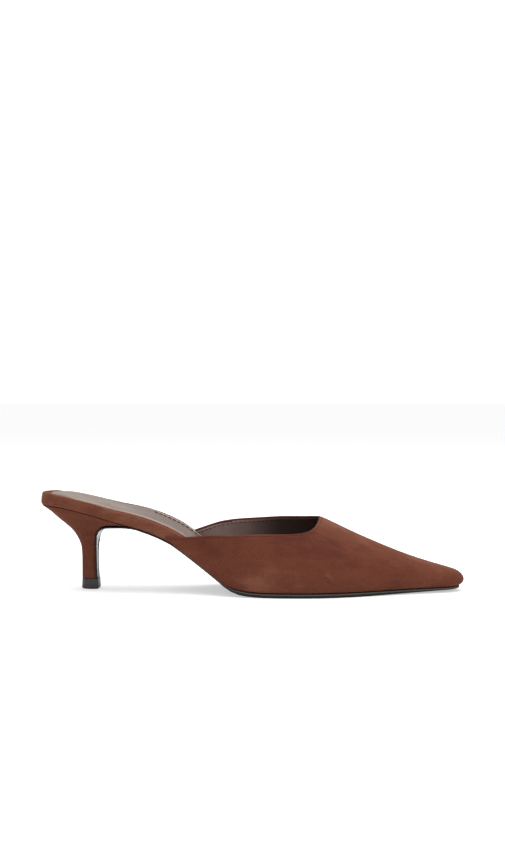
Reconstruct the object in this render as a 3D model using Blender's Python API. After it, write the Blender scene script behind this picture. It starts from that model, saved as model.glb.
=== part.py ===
"""A right-foot mule pump: pointed closed toe, open back, slim kitten heel.

The shoe is laid out on its last. A station runs forward from the back of the heel, an outer side (the
little toe's, -Y) and an inner side (+Y) are measured from the last's centre line, and the bed is the line,
seen from the side, on which insole, upper and heel stand. Every piece is a loft of sections worked out from
the sizes and tables below. Metres, +X to the toe, +Z up.
"""

import math
from collections import namedtuple

import bmesh
import bpy
import numpy as np
from mathutils import Vector

# Overall sizes
LENGTH = 0.2610
BALL_WIDTH = 0.0710
WAIST_WIDTH = 0.0415
SEAT_WIDTH = 0.0500
HEEL_RISE = 0.0483
TOE_SPRING = 0.0005
INSTEP_HEIGHT = 0.0431
VAMP_LENGTH = 0.0890
OUTER_WING_LENGTH = 0.0927
INNER_WING_LENGTH = 0.0887

# Thicknesses and small sizes
SOLE_THICKNESS = 0.0026
TOE_SOLE_THICKNESS = 0.0012
SHANK_THICKNESS = 0.0011
FLAP_THICKNESS = 0.0009
SOLE_BEVEL = 0.0004
UPPER_WALL = 0.0016
TOE_OVERHANG = 0.0028
RIM_THICKNESS = 0.0074
RIM_TOP_ROUND = 0.0018
RIM_FOOT_ROUND = 0.0014
BOARD_THICKNESS = 0.0025
SOCK_THICKNESS = 0.0010
SOCK_INSET = 0.0020
SOCK_EDGE_ROUND = 0.0004
SEAT_INSET = 0.0008
SHANK_INSET = 0.0020
GAP = 0.0003

# Roundings of the last's plan and toe
HEEL_ROUND = 0.0270
TOE_ROUND = 0.0085
TOE_BOX_ROUND = 0.0075
TOE_BOX_POWER = 2.3

# Heel
TOP_PIECE_HEIGHT = 0.0063
TOP_PIECE_EDGE = 0.0002
TOP_PIECE_ROUND = 0.0005
STEM_BACK = 0.0256
STEM_DEPTH = 0.0094
STEM_WIDTH = 0.0106
STEM_CORNER = 0.0010
LIP_LENGTH = 0.0560
BREAST_LENGTH = 0.0273

# Stations where the thick rim thins to a board, where the thin shank thickens to a sole, and where the
# sole starts to thin and rise to the toe
RIM_THINS = (0.352 * LENGTH, 0.498 * LENGTH)
SOLE_THICKENS = (0.421 * LENGTH, 0.487 * LENGTH)
TOE_RISES_AT = 0.747 * LENGTH
TOE_RISE_POWER = 1.3

# A rounding takes at most this share of the edge it is on
ROUND_LIMIT = 0.45

# Shares of a wing's length where the lines up its wall stand upright
UPRIGHT_AT = (0.35, 0.70)

# How much less the widest line rises where the wall is low
LOW_WALL = 2.0

# How finely the lofts are cut
HEEL_ARC_STEPS = 8
TOE_ARC_STEPS = 6
WAIST_STEPS = 12
BEND_STEPS = 8
FORE_STEPS = 16
BEND_SPAN = (0.391 * LENGTH, 0.536 * LENGTH)
UPPER_ROWS = 14
EDGE_STEPS = 3
BREAST_STEPS = 17
HEEL_SIDE_STEPS = 11
FINE_STEPS = 240
SETTLE_ROUNDS = 3
MERGE = 1e-6

# The bed: how far it is above its level at the ball, as a share of HEEL_RISE
Bed = namedtuple("Bed", "at rise")
BED = (
    Bed(0.000, 1.000),
    Bed(0.048, 0.990),
    Bed(0.140, 0.894),
    Bed(0.227, 0.793),
    Bed(0.272, 0.714),
    Bed(0.314, 0.604),
    Bed(0.353, 0.445),
    Bed(0.400, 0.256),
    Bed(0.423, 0.166),
    Bed(0.446, 0.087),
    Bed(0.470, 0.040),
    Bed(0.505, 0.010),
    Bed(0.550, 0.000),
    Bed(1.000, 0.000),
)

# The insole board's plan: its centre line and its two half widths, as shares of the width named in "of"
Plan = namedtuple("Plan", "at of centre outer inner")
PLAN = (
    Plan(0.000, SEAT_WIDTH, 0.030, 0.490, 0.480),
    Plan(0.138, SEAT_WIDTH, 0.016, 0.510, 0.490),
    Plan(0.212, SEAT_WIDTH, 0.006, 0.502, 0.462),
    Plan(0.269, WAIST_WIDTH, 0.000, 0.590, 0.510),
    Plan(0.327, WAIST_WIDTH, 0.000, 0.570, 0.470),
    Plan(0.385, WAIST_WIDTH, 0.000, 0.615, 0.485),
    Plan(0.442, BALL_WIDTH, 0.000, 0.436, 0.335),
    Plan(0.500, BALL_WIDTH, 0.000, 0.484, 0.404),
    Plan(0.558, BALL_WIDTH, 0.000, 0.506, 0.456),
    Plan(0.604, BALL_WIDTH, 0.000, 0.509, 0.484),
    Plan(0.646, BALL_WIDTH, 0.003, 0.500, 0.492),
    Plan(0.690, BALL_WIDTH, 0.008, 0.472, 0.472),
    Plan(0.742, BALL_WIDTH, 0.015, 0.412, 0.416),
    Plan(0.796, BALL_WIDTH, 0.024, 0.334, 0.336),
    Plan(0.850, BALL_WIDTH, 0.034, 0.258, 0.258),
    Plan(0.904, BALL_WIDTH, 0.042, 0.188, 0.188),
    Plan(0.954, BALL_WIDTH, 0.048, 0.132, 0.132),
    Plan(1.000, BALL_WIDTH, 0.050, 0.098, 0.098),
)

# The upper's sections: its crest and the height of its widest line above the bed as shares of
# INSTEP_HEIGHT, how far the crest is to the inner side as a share of BALL_WIDTH, how far the widest line
# stands out over the edge as a share of TOE_OVERHANG, and how round the section is
Section = namedtuple("Section", "at crest widest ridge overhang across up")
SECTIONS = (
    Section(0.280, 1.450, 0.150, 0.020, 0.05, 2.3, 2.0),
    Section(0.350, 1.500, 0.160, 0.030, 0.16, 2.3, 2.0),
    Section(0.423, 1.540, 0.180, 0.040, 0.36, 2.2, 2.0),
    Section(0.538, 1.350, 0.200, 0.055, 0.56, 2.1, 1.9),
    Section(0.659, 1.000, 0.200, 0.060, 0.66, 1.9, 1.8),
    Section(0.695, 0.893, 0.193, 0.059, 0.69, 1.9, 1.8),
    Section(0.732, 0.784, 0.180, 0.058, 0.72, 1.9, 1.8),
    Section(0.791, 0.628, 0.162, 0.054, 0.78, 1.9, 1.85),
    Section(0.850, 0.480, 0.144, 0.050, 0.84, 1.95, 1.9),
    Section(0.908, 0.358, 0.122, 0.048, 0.92, 2.0, 2.0),
    Section(0.955, 0.276, 0.106, 0.048, 1.00, 2.1, 2.1),
    Section(1.000, 0.205, 0.098, 0.048, 1.00, 2.1, 2.1),
)

# The topline, from the tip of a wing to the middle of the throat: how far along, and how high above the
# bed as a share of INSTEP_HEIGHT
Top = namedtuple("Top", "along height")
OUTER_TOPLINE = (
    Top(0.000, 0.022),
    Top(0.043, 0.092),
    Top(0.142, 0.253),
    Top(0.255, 0.460),
    Top(0.345, 0.615),
    Top(0.448, 0.735),
    Top(0.561, 0.794),
    Top(0.680, 0.810),
    Top(0.800, 0.810),
    Top(0.881, 0.817),
    Top(0.930, 0.838),
    Top(0.962, 0.870),
    Top(0.984, 0.918),
    Top(0.996, 0.972),
    Top(1.000, 1.000),
)
INNER_TOPLINE = (
    Top(0.000, 0.022),
    Top(0.056, 0.130),
    Top(0.117, 0.276),
    Top(0.223, 0.508),
    Top(0.292, 0.648),
    Top(0.363, 0.762),
    Top(0.434, 0.832),
    Top(0.520, 0.874),
    Top(0.649, 0.907),
    Top(0.794, 0.927),
    Top(0.880, 0.943),
    Top(0.945, 0.964),
    Top(0.985, 0.984),
    Top(1.000, 1.000),
)

# The heel's breast, from the top piece up and forward to where it runs into the bed: shares of
# BREAST_LENGTH and of the height between them
Breast = namedtuple("Breast", "out up")
BREAST = (
    Breast(0.000, 0.000),
    Breast(-0.020, 0.232),
    Breast(-0.024, 0.419),
    Breast(-0.024, 0.570),
    Breast(-0.018, 0.682),
    Breast(0.002, 0.793),
    Breast(0.036, 0.870),
    Breast(0.106, 0.936),
    Breast(0.198, 0.978),
    Breast(0.341, 1.008),
    Breast(0.586, 1.027),
    Breast(0.806, 1.023),
    Breast(1.000, 1.000),
)

# The heel's sections, from the top piece up: how far up the breast, where the back is between the stem's
# back and the seat's and how high, how wide between stem and seat, and how far forward its back rounds
Heel = namedtuple("Heel", "up back height width round")
HEEL = (
    Heel(0.000, 0.000, 0.000, 0.000, 0.62),
    Heel(0.206, 0.000, 0.233, -0.016, 0.62),
    Heel(0.378, 0.012, 0.437, 0.095, 0.62),
    Heel(0.452, 0.056, 0.520, 0.225, 0.62),
    Heel(0.528, 0.149, 0.624, 0.385, 0.61),
    Heel(0.588, 0.238, 0.688, 0.510, 0.60),
    Heel(0.652, 0.363, 0.751, 0.630, 0.59),
    Heel(0.712, 0.488, 0.805, 0.725, 0.58),
    Heel(0.792, 0.649, 0.878, 0.820, 0.56),
    Heel(0.926, 0.859, 0.957, 0.915, 0.51),
    Heel(1.000, 0.944, 0.984, 0.975, 0.50),
)

THROAT = LENGTH - VAMP_LENGTH
BOARD_TIP = LENGTH - TOE_OVERHANG - UPPER_WALL - GAP
FEATHER_OUTSET = GAP + UPPER_WALL
LIFT = TOP_PIECE_HEIGHT + GAP
BREAST_AT = STEM_BACK + STEM_DEPTH + GAP
BREAST_TOP = BREAST_AT + BREAST_LENGTH


# Curves
def smooth(at, values, x):
    """A monotone cubic through the points, so that a table's curve never swings past its rows."""
    at, values = np.asarray(at, float), np.asarray(values, float)
    x = np.clip(x, at[0], at[-1])
    steps = np.diff(at)
    slopes = np.diff(values) / steps
    turn = np.concatenate([slopes[:1], np.zeros(len(at) - 2), slopes[-1:]])
    before, after = slopes[:-1], slopes[1:]
    same_way = before * after > 0
    heavy, light = 2 * steps[1:] + steps[:-1], steps[1:] + 2 * steps[:-1]
    safe_before = np.where(same_way, before, 1.0)
    safe_after = np.where(same_way, after, 1.0)
    mean = (heavy + light) / (heavy / safe_before + light / safe_after)
    turn[1:-1] = np.where(same_way, mean, 0.0)
    i = np.clip(np.searchsorted(at, x, side="right") - 1, 0, len(steps) - 1)
    t = (x - at[i]) / steps[i]
    return (
        values[i] * (1 + 2 * t) * (1 - t) ** 2
        + values[i + 1] * t * t * (3 - 2 * t)
        + steps[i] * t * (1 - t) * (turn[i] * (1 - t) - turn[i + 1] * t)
    )


def column(table, name):
    return [getattr(row, name) for row in table]


def stations_of(table):
    return [row.at * LENGTH for row in table]


def ease(x, span):
    """0 before the span, 1 after it, and a smooth step between."""
    t = np.clip((np.asarray(x, float) - span[0]) / (span[1] - span[0]), 0, 1)
    return t * t * (3 - 2 * t)


def arc_lengths(points):
    steps = np.linalg.norm(np.diff(points, axis=0), axis=1)
    return np.concatenate([[0.0], np.cumsum(steps)])


def along_line(points, distances):
    """Points at these distances along a polyline."""
    travelled = arc_lengths(points)
    return np.stack([np.interp(distances, travelled, points[:, k]) for k in range(points.shape[1])], axis=1)


# The last
def toe_rise(x):
    """0 where the sole lies on the floor, growing to 1 at the toe."""
    return np.clip((x - TOE_RISES_AT) / (LENGTH - TOE_RISES_AT), 0, 1) ** TOE_RISE_POWER


def bed(x):
    """The bed's height at a station."""
    rise = smooth(stations_of(BED), column(BED, "rise"), x)
    return SOLE_THICKNESS + HEEL_RISE * rise + TOE_SPRING * toe_rise(x)


def bed_slope(x):
    reach = GAP
    return (bed(x + reach) - bed(x - reach)) / (2 * reach)


def on_bed(x, y, up):
    """The point at a station and a width, this far above the bed, square to it."""
    angle = np.arctan(bed_slope(x))
    return np.stack([x - up * np.sin(angle), y, bed(x) + up * np.cos(angle)], axis=-1)


def closing(x):
    """1 along the last, falling to 0 in a quarter ellipse at the heel and at the toe."""
    heel = np.clip(1 - x / HEEL_ROUND, 0, 1)
    toe = np.clip(1 - (BOARD_TIP - x) / TOE_ROUND, 0, 1)
    return np.sqrt((1 - heel**2) * (1 - toe**2))


def plan_edge(x, side):
    """How far the board's edge is to the side: -1 for the outer side, 1 for the inner."""
    share = "outer" if side < 0 else "inner"
    halves = [getattr(row, share) * row.of for row in PLAN]
    centres = [row.centre * row.of for row in PLAN]
    at = stations_of(PLAN)
    return smooth(at, centres, x) + side * smooth(at, halves, x) * closing(x)


def spread(low, high, steps):
    return list(np.linspace(low, high, steps + 1))[1:]


def last_stations(*more):
    """Stations from heel to toe, closer together where the plan or the bed turns."""
    turn = [math.pi / 2 * k / HEEL_ARC_STEPS for k in range(HEEL_ARC_STEPS + 1)]
    found = [HEEL_ROUND * (1 - math.cos(a)) for a in turn]
    found += spread(HEEL_ROUND, BEND_SPAN[0], WAIST_STEPS)
    found += spread(BEND_SPAN[0], BEND_SPAN[1], BEND_STEPS)
    found += spread(BEND_SPAN[1], BOARD_TIP - TOE_ROUND, FORE_STEPS)
    turn = [math.pi / 2 * k / TOE_ARC_STEPS for k in range(1, TOE_ARC_STEPS + 1)]
    found += [BOARD_TIP - TOE_ROUND * (1 - math.sin(a)) for a in turn]
    return np.array(sorted(found + list(more)))


def plan_sides(x, outset=0.0):
    """The board's outline moved outward, as its outer and its inner side, each from heel to toe.

    The outset is one distance, or one for each station.
    """
    near = np.stack([x, plan_edge(x, -1)], axis=1)
    far = np.stack([x, plan_edge(x, 1)], axis=1)
    ring = np.concatenate([near, far[-2:0:-1]])
    tangent = np.roll(ring, -1, axis=0) - np.roll(ring, 1, axis=0)
    tangent /= np.linalg.norm(tangent, axis=1)[:, None]
    outward = np.stack([tangent[:, 1], -tangent[:, 0]], axis=1)
    each = np.broadcast_to(outset, x.shape)
    moved = ring + outward * np.concatenate([each, each[-2:0:-1]])[:, None]
    toe = len(x) - 1
    return moved[: toe + 1], np.concatenate([moved[:1], moved[:toe - 1 : -1]])


def plan_ring(x, outset=0.0):
    """The two sides as one ring: up the outer side and back down the inner one."""
    near, far = plan_sides(x, outset)
    return np.concatenate([near, far[::-1]])


# Blender helpers
def material(name, colour, roughness, metallic=0.0):
    made = bpy.data.materials.new(name)
    made.use_nodes = True
    shader = made.node_tree.nodes["Principled BSDF"]
    shader.inputs["Base Color"].default_value = (*colour, 1.0)
    shader.inputs["Roughness"].default_value = roughness
    shader.inputs["Metallic"].default_value = metallic
    return made


def loft(name, rings, finish):
    """Joins rings of equally many points, and closes each end by a ladder across its ring."""
    mesh = bmesh.new()
    rows = [[mesh.verts.new(Vector(point)) for point in ring] for ring in rings]
    count = len(rows[0])
    for low, high in zip(rows, rows[1:]):
        for i in range(count):
            j = (i + 1) % count
            mesh.faces.new((low[i], low[j], high[j], high[i]))
    for row in (rows[0], rows[-1]):
        for i in range(count // 2 - 1):
            mesh.faces.new((row[i], row[i + 1], row[count - 2 - i], row[count - 1 - i]))
    bmesh.ops.remove_doubles(mesh, verts=mesh.verts, dist=MERGE)
    bmesh.ops.dissolve_degenerate(mesh, edges=mesh.edges, dist=MERGE)
    bmesh.ops.recalc_face_normals(mesh, faces=mesh.faces)
    data = bpy.data.meshes.new(name)
    mesh.to_mesh(data)
    mesh.free()
    data.materials.append(finish)
    data.shade_smooth()
    data.set_sharp_from_angle(angle=math.radians(35))
    return bpy.data.objects.new(name, data)


# Insole and sock lining
def rim_thickness(x):
    return RIM_THICKNESS + (BOARD_THICKNESS - RIM_THICKNESS) * ease(x, RIM_THINS)


def insole(finish):
    """The board in its wrap: a thick rounded rim under the heel and waist, thin inside the vamp."""
    x = last_stations()
    both = np.concatenate([x, x[::-1]])
    thick = rim_thickness(both)
    foot = np.minimum(RIM_FOOT_ROUND, ROUND_LIMIT * thick)
    top = np.minimum(RIM_TOP_ROUND, ROUND_LIMIT * thick)
    rings = []
    for k in range(EDGE_STEPS + 1):
        angle = math.pi / 2 * k / EDGE_STEPS
        inset = foot[: len(x)] * (1 - math.sin(angle))
        edge = plan_ring(x, -inset)
        rings.append(on_bed(edge[:, 0], edge[:, 1], GAP + foot * (1 - math.cos(angle))))
    for k in range(EDGE_STEPS + 1):
        angle = math.pi / 2 * k / EDGE_STEPS
        inset = top[: len(x)] * (1 - math.cos(angle))
        edge = plan_ring(x, -inset)
        rings.append(on_bed(edge[:, 0], edge[:, 1], GAP + thick - top * (1 - math.sin(angle))))
    return loft("insole", rings, finish)


def sock(finish):
    """The sock lining, lying on the insole a little inside its rim."""
    x = last_stations()
    both = np.concatenate([x, x[::-1]])
    under = 2 * GAP + rim_thickness(both)
    rings = []
    for inset, up in (
        (SOCK_INSET, 0.0),
        (SOCK_INSET, SOCK_THICKNESS - SOCK_EDGE_ROUND),
        (SOCK_INSET + SOCK_EDGE_ROUND, SOCK_THICKNESS),
    ):
        edge = plan_ring(x, -inset)
        rings.append(on_bed(edge[:, 0], edge[:, 1], under + up))
    return loft("sock", rings, finish)


# The breast line, and the outsole that follows it
def catmull(points, steps):
    """A smooth curve through the points, with this many steps between each two."""
    points = np.asarray(points, float)
    ends = np.concatenate([[2 * points[0] - points[1]], points, [2 * points[-1] - points[-2]]])
    t = np.linspace(0, 1, steps, endpoint=False)[:, None]
    spans = []
    for a, b, c, d in zip(ends, ends[1:], ends[2:], ends[3:]):
        spans.append(
            0.5 * (2 * b + (c - a) * t + (2 * a - 5 * b + 4 * c - d) * t**2 + (3 * b - a - 3 * c + d) * t**3)
        )
    return np.concatenate([*spans, points[-1:]])


def breast_line():
    """Station and height down the middle of the breast, from the top piece to where it meets the bed."""
    rise = bed(BREAST_TOP) - LIFT
    drawn = [(BREAST_AT + row.out * BREAST_LENGTH, LIFT + row.up * rise) for row in BREAST]
    waist_step = BREAST_LENGTH * (BREAST[-1].out - BREAST[-2].out)
    waist = [(x, bed(x)) for x in (BREAST_TOP + waist_step, BREAST_TOP + 2 * waist_step)]
    fine = FINE_STEPS // len(BREAST)
    line = catmull(drawn + waist, fine)
    return line[: fine * (len(drawn) - 1) + 1]


def breast_stops():
    """The breast line's points that heel and outsole share."""
    line = breast_line()
    return along_line(line, np.linspace(0, arc_lengths(line)[-1], BREAST_STEPS + 1))


def normals_of(line):
    """Unit normals of a side-view line, on its left."""
    tangent = np.gradient(line, axis=0)
    tangent /= np.linalg.norm(tangent, axis=1)[:, None]
    return np.stack([-tangent[:, 1], tangent[:, 0]], axis=1)


def sole_thickness(x):
    """Thin under the waist, full under the ball, and thinning again to the toe."""
    full = SHANK_THICKNESS + (SOLE_THICKNESS - SHANK_THICKNESS) * ease(x, SOLE_THICKENS)
    return full - (SOLE_THICKNESS - TOE_SOLE_THICKNESS) * toe_rise(x)


def sole_outset(x):
    """The outsole's edge: under the upper's wall in the forepart, drawn in under the waist."""
    return FEATHER_OUTSET - (SHANK_INSET + FEATHER_OUTSET) * (1 - ease(x, SOLE_THICKENS))


def flap_half_width(up):
    """Half the flap's width, from the stem to where it is as wide as the waist's sole."""
    stem = STEM_WIDTH / 2 - STEM_CORNER
    width = smooth(column(HEEL, "up"), column(HEEL, "width"), up)
    waist = plan_edge(BREAST_TOP, 1) - plan_edge(BREAST_TOP, -1)
    return stem + (waist / 2 - SHANK_INSET - stem) * np.clip(width, 0, 1)


def outsole(finish):
    """Forepart, waist and breast flap in one thin piece, its upper face on the bed and the breast line."""
    stops = breast_stops()
    x = last_stations()
    ahead = x > BREAST_TOP + GAP
    outset = sole_outset(x)
    thick = sole_thickness(x)
    share = arc_lengths(stops) / arc_lengths(stops)[-1]
    flap_thick = FLAP_THICKNESS + (SHANK_THICKNESS - FLAP_THICKNESS) * share
    half = flap_half_width(share)
    middle = (plan_edge(BREAST_TOP, 1) + plan_edge(BREAST_TOP, -1)) / 2
    flap_normals = normals_of(stops)
    rings = []
    for drop, inset in ((0.0, 0.0), (1.0, 0.0), (1.0, SOLE_BEVEL)):
        bevel = SOLE_BEVEL if drop and not inset else 0.0
        near, far = (side[ahead] for side in plan_sides(x, outset - inset))
        edge = np.concatenate([near, far[::-1]])
        sole_up = np.concatenate([thick[ahead], thick[ahead][::-1]])
        sole = on_bed(edge[:, 0], edge[:, 1], -np.maximum(sole_up * drop - bevel, 0.0))
        down = np.maximum(flap_thick * drop - bevel, 0.0)
        centre = stops - flap_normals * down[:, None]
        near = np.stack([centre[:, 0], middle - half + inset, centre[:, 1]], axis=1)
        far = np.stack([centre[:, 0], middle + half - inset, centre[:, 1]], axis=1)
        rings.append(np.concatenate([near, sole, far[::-1]]))
    return loft("outsole", rings, finish)


# Heel and top piece
def heel_middle():
    """The heel stands under the middle of the seat."""
    return (plan_edge(STEM_BACK, 1) + plan_edge(STEM_BACK, -1)) / 2


def stem_section(share, corner, bow):
    """Half width, from 0 at the back to 1, of a D that rounds until "bow" and turns in at its front corner."""
    back = np.clip(1 - share / bow, 0, 1)
    return np.sqrt(1 - back**2) * (1 - corner * np.clip((share - bow) / (1 - bow), 0, 1) ** 2)


def heel_shares():
    """Where the points of a heel section lie between its back and its breast."""
    return np.array([1 - math.cos(math.pi / 2 * k / HEEL_SIDE_STEPS) for k in range(HEEL_SIDE_STEPS + 1)])


def heel(finish):
    """The heel, from the top piece to the seat, with a thin lip that runs forward under the waist."""
    stops = breast_stops()
    stops = stops[stops[:, 0] < LIP_LENGTH]
    travelled = arc_lengths(stops)
    up = travelled / travelled[-1]
    fronts = stops + normals_of(breast_stops())[: len(stops)] * GAP
    rows = {name: smooth(column(HEEL, "up"), column(HEEL, name), up) for name in Heel._fields[1:]}
    share = heel_shares()
    seat_half = SEAT_WIDTH / 2 - SEAT_INSET
    middle = heel_middle()
    rings = []
    for k, front in enumerate(fronts):
        back = np.array([
            STEM_BACK + (SEAT_INSET - STEM_BACK) * rows["back"][k],
            LIFT + (bed(SEAT_INSET) - LIFT) * rows["height"][k],
        ])
        half = STEM_WIDTH / 2 + (seat_half - STEM_WIDTH / 2) * rows["width"][k]
        line = back + (front - back) * share[:, None]
        wide = half * stem_section(share, STEM_CORNER / half, rows["round"][k])
        near = np.stack([line[:, 0], middle - wide, line[:, 1]], axis=1)
        far = np.stack([line[:, 0], middle + wide, line[:, 1]], axis=1)
        rings.append(np.concatenate([near, far[::-1]]))
    x = SEAT_INSET + (fronts[-1][0] - SEAT_INSET) * share
    near = np.stack([x, seat_edge(x, -1), bed(x)], axis=1)
    far = np.stack([x, seat_edge(x, 1), bed(x)], axis=1)
    rings.append(np.concatenate([near, far[::-1]]))
    return loft("heel", rings, finish)


def seat_edge(x, side):
    """The heel seat's edge, a little inside the rim's."""
    outer, inner = plan_sides(last_stations(), -SEAT_INSET)
    edge = outer if side < 0 else inner
    return np.interp(x, edge[:, 0], edge[:, 1])


def top_piece(finish):
    """The rubber lift under the heel, flat on the floor and a hair larger than the stem and its flap."""
    share = heel_shares()
    back = STEM_BACK - TOP_PIECE_EDGE
    front = BREAST_AT + FLAP_THICKNESS + TOP_PIECE_EDGE
    half = STEM_WIDTH / 2 + TOP_PIECE_EDGE
    middle = heel_middle()
    rings = []
    for inset, height in (
        (TOP_PIECE_ROUND, 0.0),
        (0.0, TOP_PIECE_ROUND),
        (TOP_PIECE_EDGE, TOP_PIECE_HEIGHT),
    ):
        x = back + inset + (front - back - 2 * inset) * share
        wide = (half - inset) * stem_section(share, STEM_CORNER / half, HEEL[0].round)
        near = np.stack([x, middle - wide, np.full_like(x, height)], axis=1)
        far = np.stack([x, middle + wide, np.full_like(x, height)], axis=1)
        rings.append(np.concatenate([near, far[::-1]]))
    return loft("top_piece", rings, finish)


# Upper
def section_value(name, x):
    return smooth(stations_of(SECTIONS), column(SECTIONS, name), x)


def overhang(x):
    return TOE_OVERHANG * section_value("overhang", x)


def widest_line():
    """The upper's widest line in plan, finely cut: (outer side, inner side), heel to toe."""
    turn = np.linspace(0, math.pi / 2, FINE_STEPS)
    x = np.concatenate([
        HEEL_ROUND * (1 - np.cos(turn)),
        np.linspace(HEEL_ROUND, BOARD_TIP - TOE_ROUND, FINE_STEPS)[1:],
        BOARD_TIP - TOE_ROUND * (1 - np.sin(turn[1:])),
    ])
    return plan_sides(x, FEATHER_OUTSET + overhang(x))


class Dome:
    """The upper's outer form above its widest line, as a height over the plan."""

    def __init__(self):
        self.edges = widest_line()
        self.tip = self.edges[0][-1]

    def edge(self, x, side):
        line = self.edges[0] if side < 0 else self.edges[1]
        return np.interp(x, line[:, 0], line[:, 1])

    def ridge(self, x):
        return BALL_WIDTH * section_value("ridge", x)

    def foot(self, x, wall):
        """How high the widest line is: lower where the wall is low."""
        full = INSTEP_HEIGHT * section_value("widest", x)
        return bed(x) + full * wall / (wall + LOW_WALL * full)

    def crest(self, x):
        """The ridge's height, rounded down to the widest line at the tip of the toe."""
        foot = self.foot(x, INSTEP_HEIGHT)
        full = bed(x) + INSTEP_HEIGHT * section_value("crest", x)
        back = np.clip(1 - (self.tip[0] - x) / TOE_BOX_ROUND, 0, 1)
        return foot + (full - foot) * (1 - back**TOE_BOX_POWER) ** (1 / TOE_BOX_POWER)

    def side_share(self, x, height, wall):
        """How far out from ridge to edge the section is at this height."""
        foot = self.foot(x, wall)
        up = np.clip((height - foot) / (self.crest(x) - foot), 0, 1)
        return (1 - up ** section_value("up", x)) ** (1 / section_value("across", x))

    def height(self, x, y, foot):
        ridge = self.ridge(x)
        reach = np.where(y < ridge, self.edge(x, -1), self.edge(x, 1)) - ridge
        share = np.clip((y - ridge) / np.where(np.abs(reach) < MERGE, MERGE, reach), 0, 1)
        up = (1 - share ** section_value("across", x)) ** (1 / section_value("up", x))
        return foot + (self.crest(x) - foot) * up


def topline(dome, table, wing, side):
    """The topline's points and wall heights on one side, from the wing's tip to the middle of the throat."""
    u = 1 - (1 - np.linspace(0, 1, FINE_STEPS)) ** 2
    x = THROAT - wing * (1 - u)
    wall = INSTEP_HEIGHT * smooth(column(table, "along"), column(table, "height"), u)
    height = bed(x) + wall
    share = dome.side_share(x, height, wall)
    share[-1] = 0.0
    y = dome.ridge(x) + share * (dome.edge(x, side) - dome.ridge(x))
    return np.stack([x, y, height], axis=1), wall


def fan(feather, top):
    """How far along the topline each wall line ends, for its distance along the feather line.

    The lines stand upright along the wings, and the throat's share of them fans out over the toe.
    """
    along_feather, along_top = arc_lengths(feather), arc_lengths(top)
    knots = [(0.0, 0.0)]
    for share in UPRIGHT_AT:
        x = top[0, 0] + (THROAT - top[0, 0]) * share
        knots.append((
            np.interp(x, feather[:, 0], along_feather),
            np.interp(x, top[:, 0], along_top),
        ))
    knots.append((along_feather[-1], along_top[-1]))
    return smooth([k[0] for k in knots], [k[1] for k in knots], along_feather)


def wall_line(dome, foot_point, wide_point, top_point, wall):
    """One line up the wall: out from the feather edge to the widest line, then over to the topline.

    The steps are short beside the widest line, where the wall is steep.
    """
    start = np.array([*foot_point, bed(foot_point[0]) + GAP])
    widest = dome.foot(wide_point[0], wall)
    rise = np.linspace(0, 1, FINE_STEPS // 8)
    out = 1 - (1 - rise) ** 2
    lower = start + (np.array([*wide_point, widest]) - start) * np.column_stack([out, out, rise])
    inward = (1 - np.cos(np.linspace(0, math.pi / 2, FINE_STEPS))) ** 2
    plan = wide_point + (top_point[:2] - wide_point) * inward[:, None]
    foot = dome.foot(plan[:, 0], wall)
    over = np.column_stack([plan, dome.height(plan[:, 0], plan[:, 1], foot)])
    over[0, 2] = widest
    over[-1] = top_point
    return np.concatenate([lower, over[1:]])


def rows_along(line):
    """Where the upper's rows lie along a wall line: half of them by its length, half by how it turns."""
    even = np.linspace(0, 1, FINE_STEPS)
    fine = along_line(line, even * arc_lengths(line)[-1])
    tangent = np.gradient(fine, axis=0)
    tangent /= np.linalg.norm(tangent, axis=1)[:, None]
    turn = np.linalg.norm(np.gradient(tangent, axis=0), axis=1)
    blur = np.ones(FINE_STEPS // UPPER_ROWS)
    turn = np.convolve(turn, blur / blur.sum(), mode="same")
    weight = 1 / FINE_STEPS + turn / turn.sum()
    share = np.concatenate([[0], np.cumsum(weight[1:] + weight[:-1])])
    return np.interp(np.linspace(0, share[-1], UPPER_ROWS + 1), share, even)


def settle(rows):
    """Evens the rows out between neighbouring wall lines."""
    for _ in range(SETTLE_ROUNDS):
        rows[1:-1] = (rows[:-2] + 2 * rows[1:-1] + rows[2:]) / 4
    return rows


def grid_normals(grid):
    """Outward normals of a grid of columns round the shoe and rows up the wall."""
    round_the_shoe = np.gradient(grid, axis=0)
    up_the_wall = np.gradient(grid, axis=1)
    normal = np.cross(round_the_shoe, up_the_wall)
    return normal / np.linalg.norm(normal, axis=2)[:, :, None]


def upper_side(dome, table, wing, side):
    """One side of the upper's outer face, as columns from the wing's tip to the toe, and its inner foot."""
    start = THROAT - wing
    x = last_stations(start)
    outsets = (FEATHER_OUTSET, FEATHER_OUTSET + overhang(x), GAP)
    feather, wide, inside = (plan_sides(x, outset)[side > 0][x >= start] for outset in outsets)
    top, walls = topline(dome, table, wing, side)
    ends = fan(feather, top)
    wall_at = np.interp(ends, arc_lengths(top), walls)
    lines = [wall_line(dome, *each) for each in zip(feather, wide, along_line(top, ends), wall_at)]
    rows = settle(np.array([rows_along(line) for line in lines]))
    columns = [along_line(line, row * arc_lengths(line)[-1]) for line, row in zip(lines, rows)]
    return np.array(columns), np.column_stack([inside, bed(inside[:, 0]) + GAP])


def upper(finish):
    """The vamp and its wings as one wall, open at the collar, at the back and underneath."""
    dome = Dome()
    near, near_foot = upper_side(dome, OUTER_TOPLINE, OUTER_WING_LENGTH, -1)
    far, far_foot = upper_side(dome, INNER_TOPLINE, INNER_WING_LENGTH, 1)
    outer = np.concatenate([near, far[-2::-1]])
    inner = outer - grid_normals(outer) * UPPER_WALL
    inner[:, 0] = np.concatenate([near_foot, far_foot[-2::-1]])
    rings = [np.concatenate([out, inside[::-1]]) for out, inside in zip(outer, inner)]
    return loft("upper", rings, finish)


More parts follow.
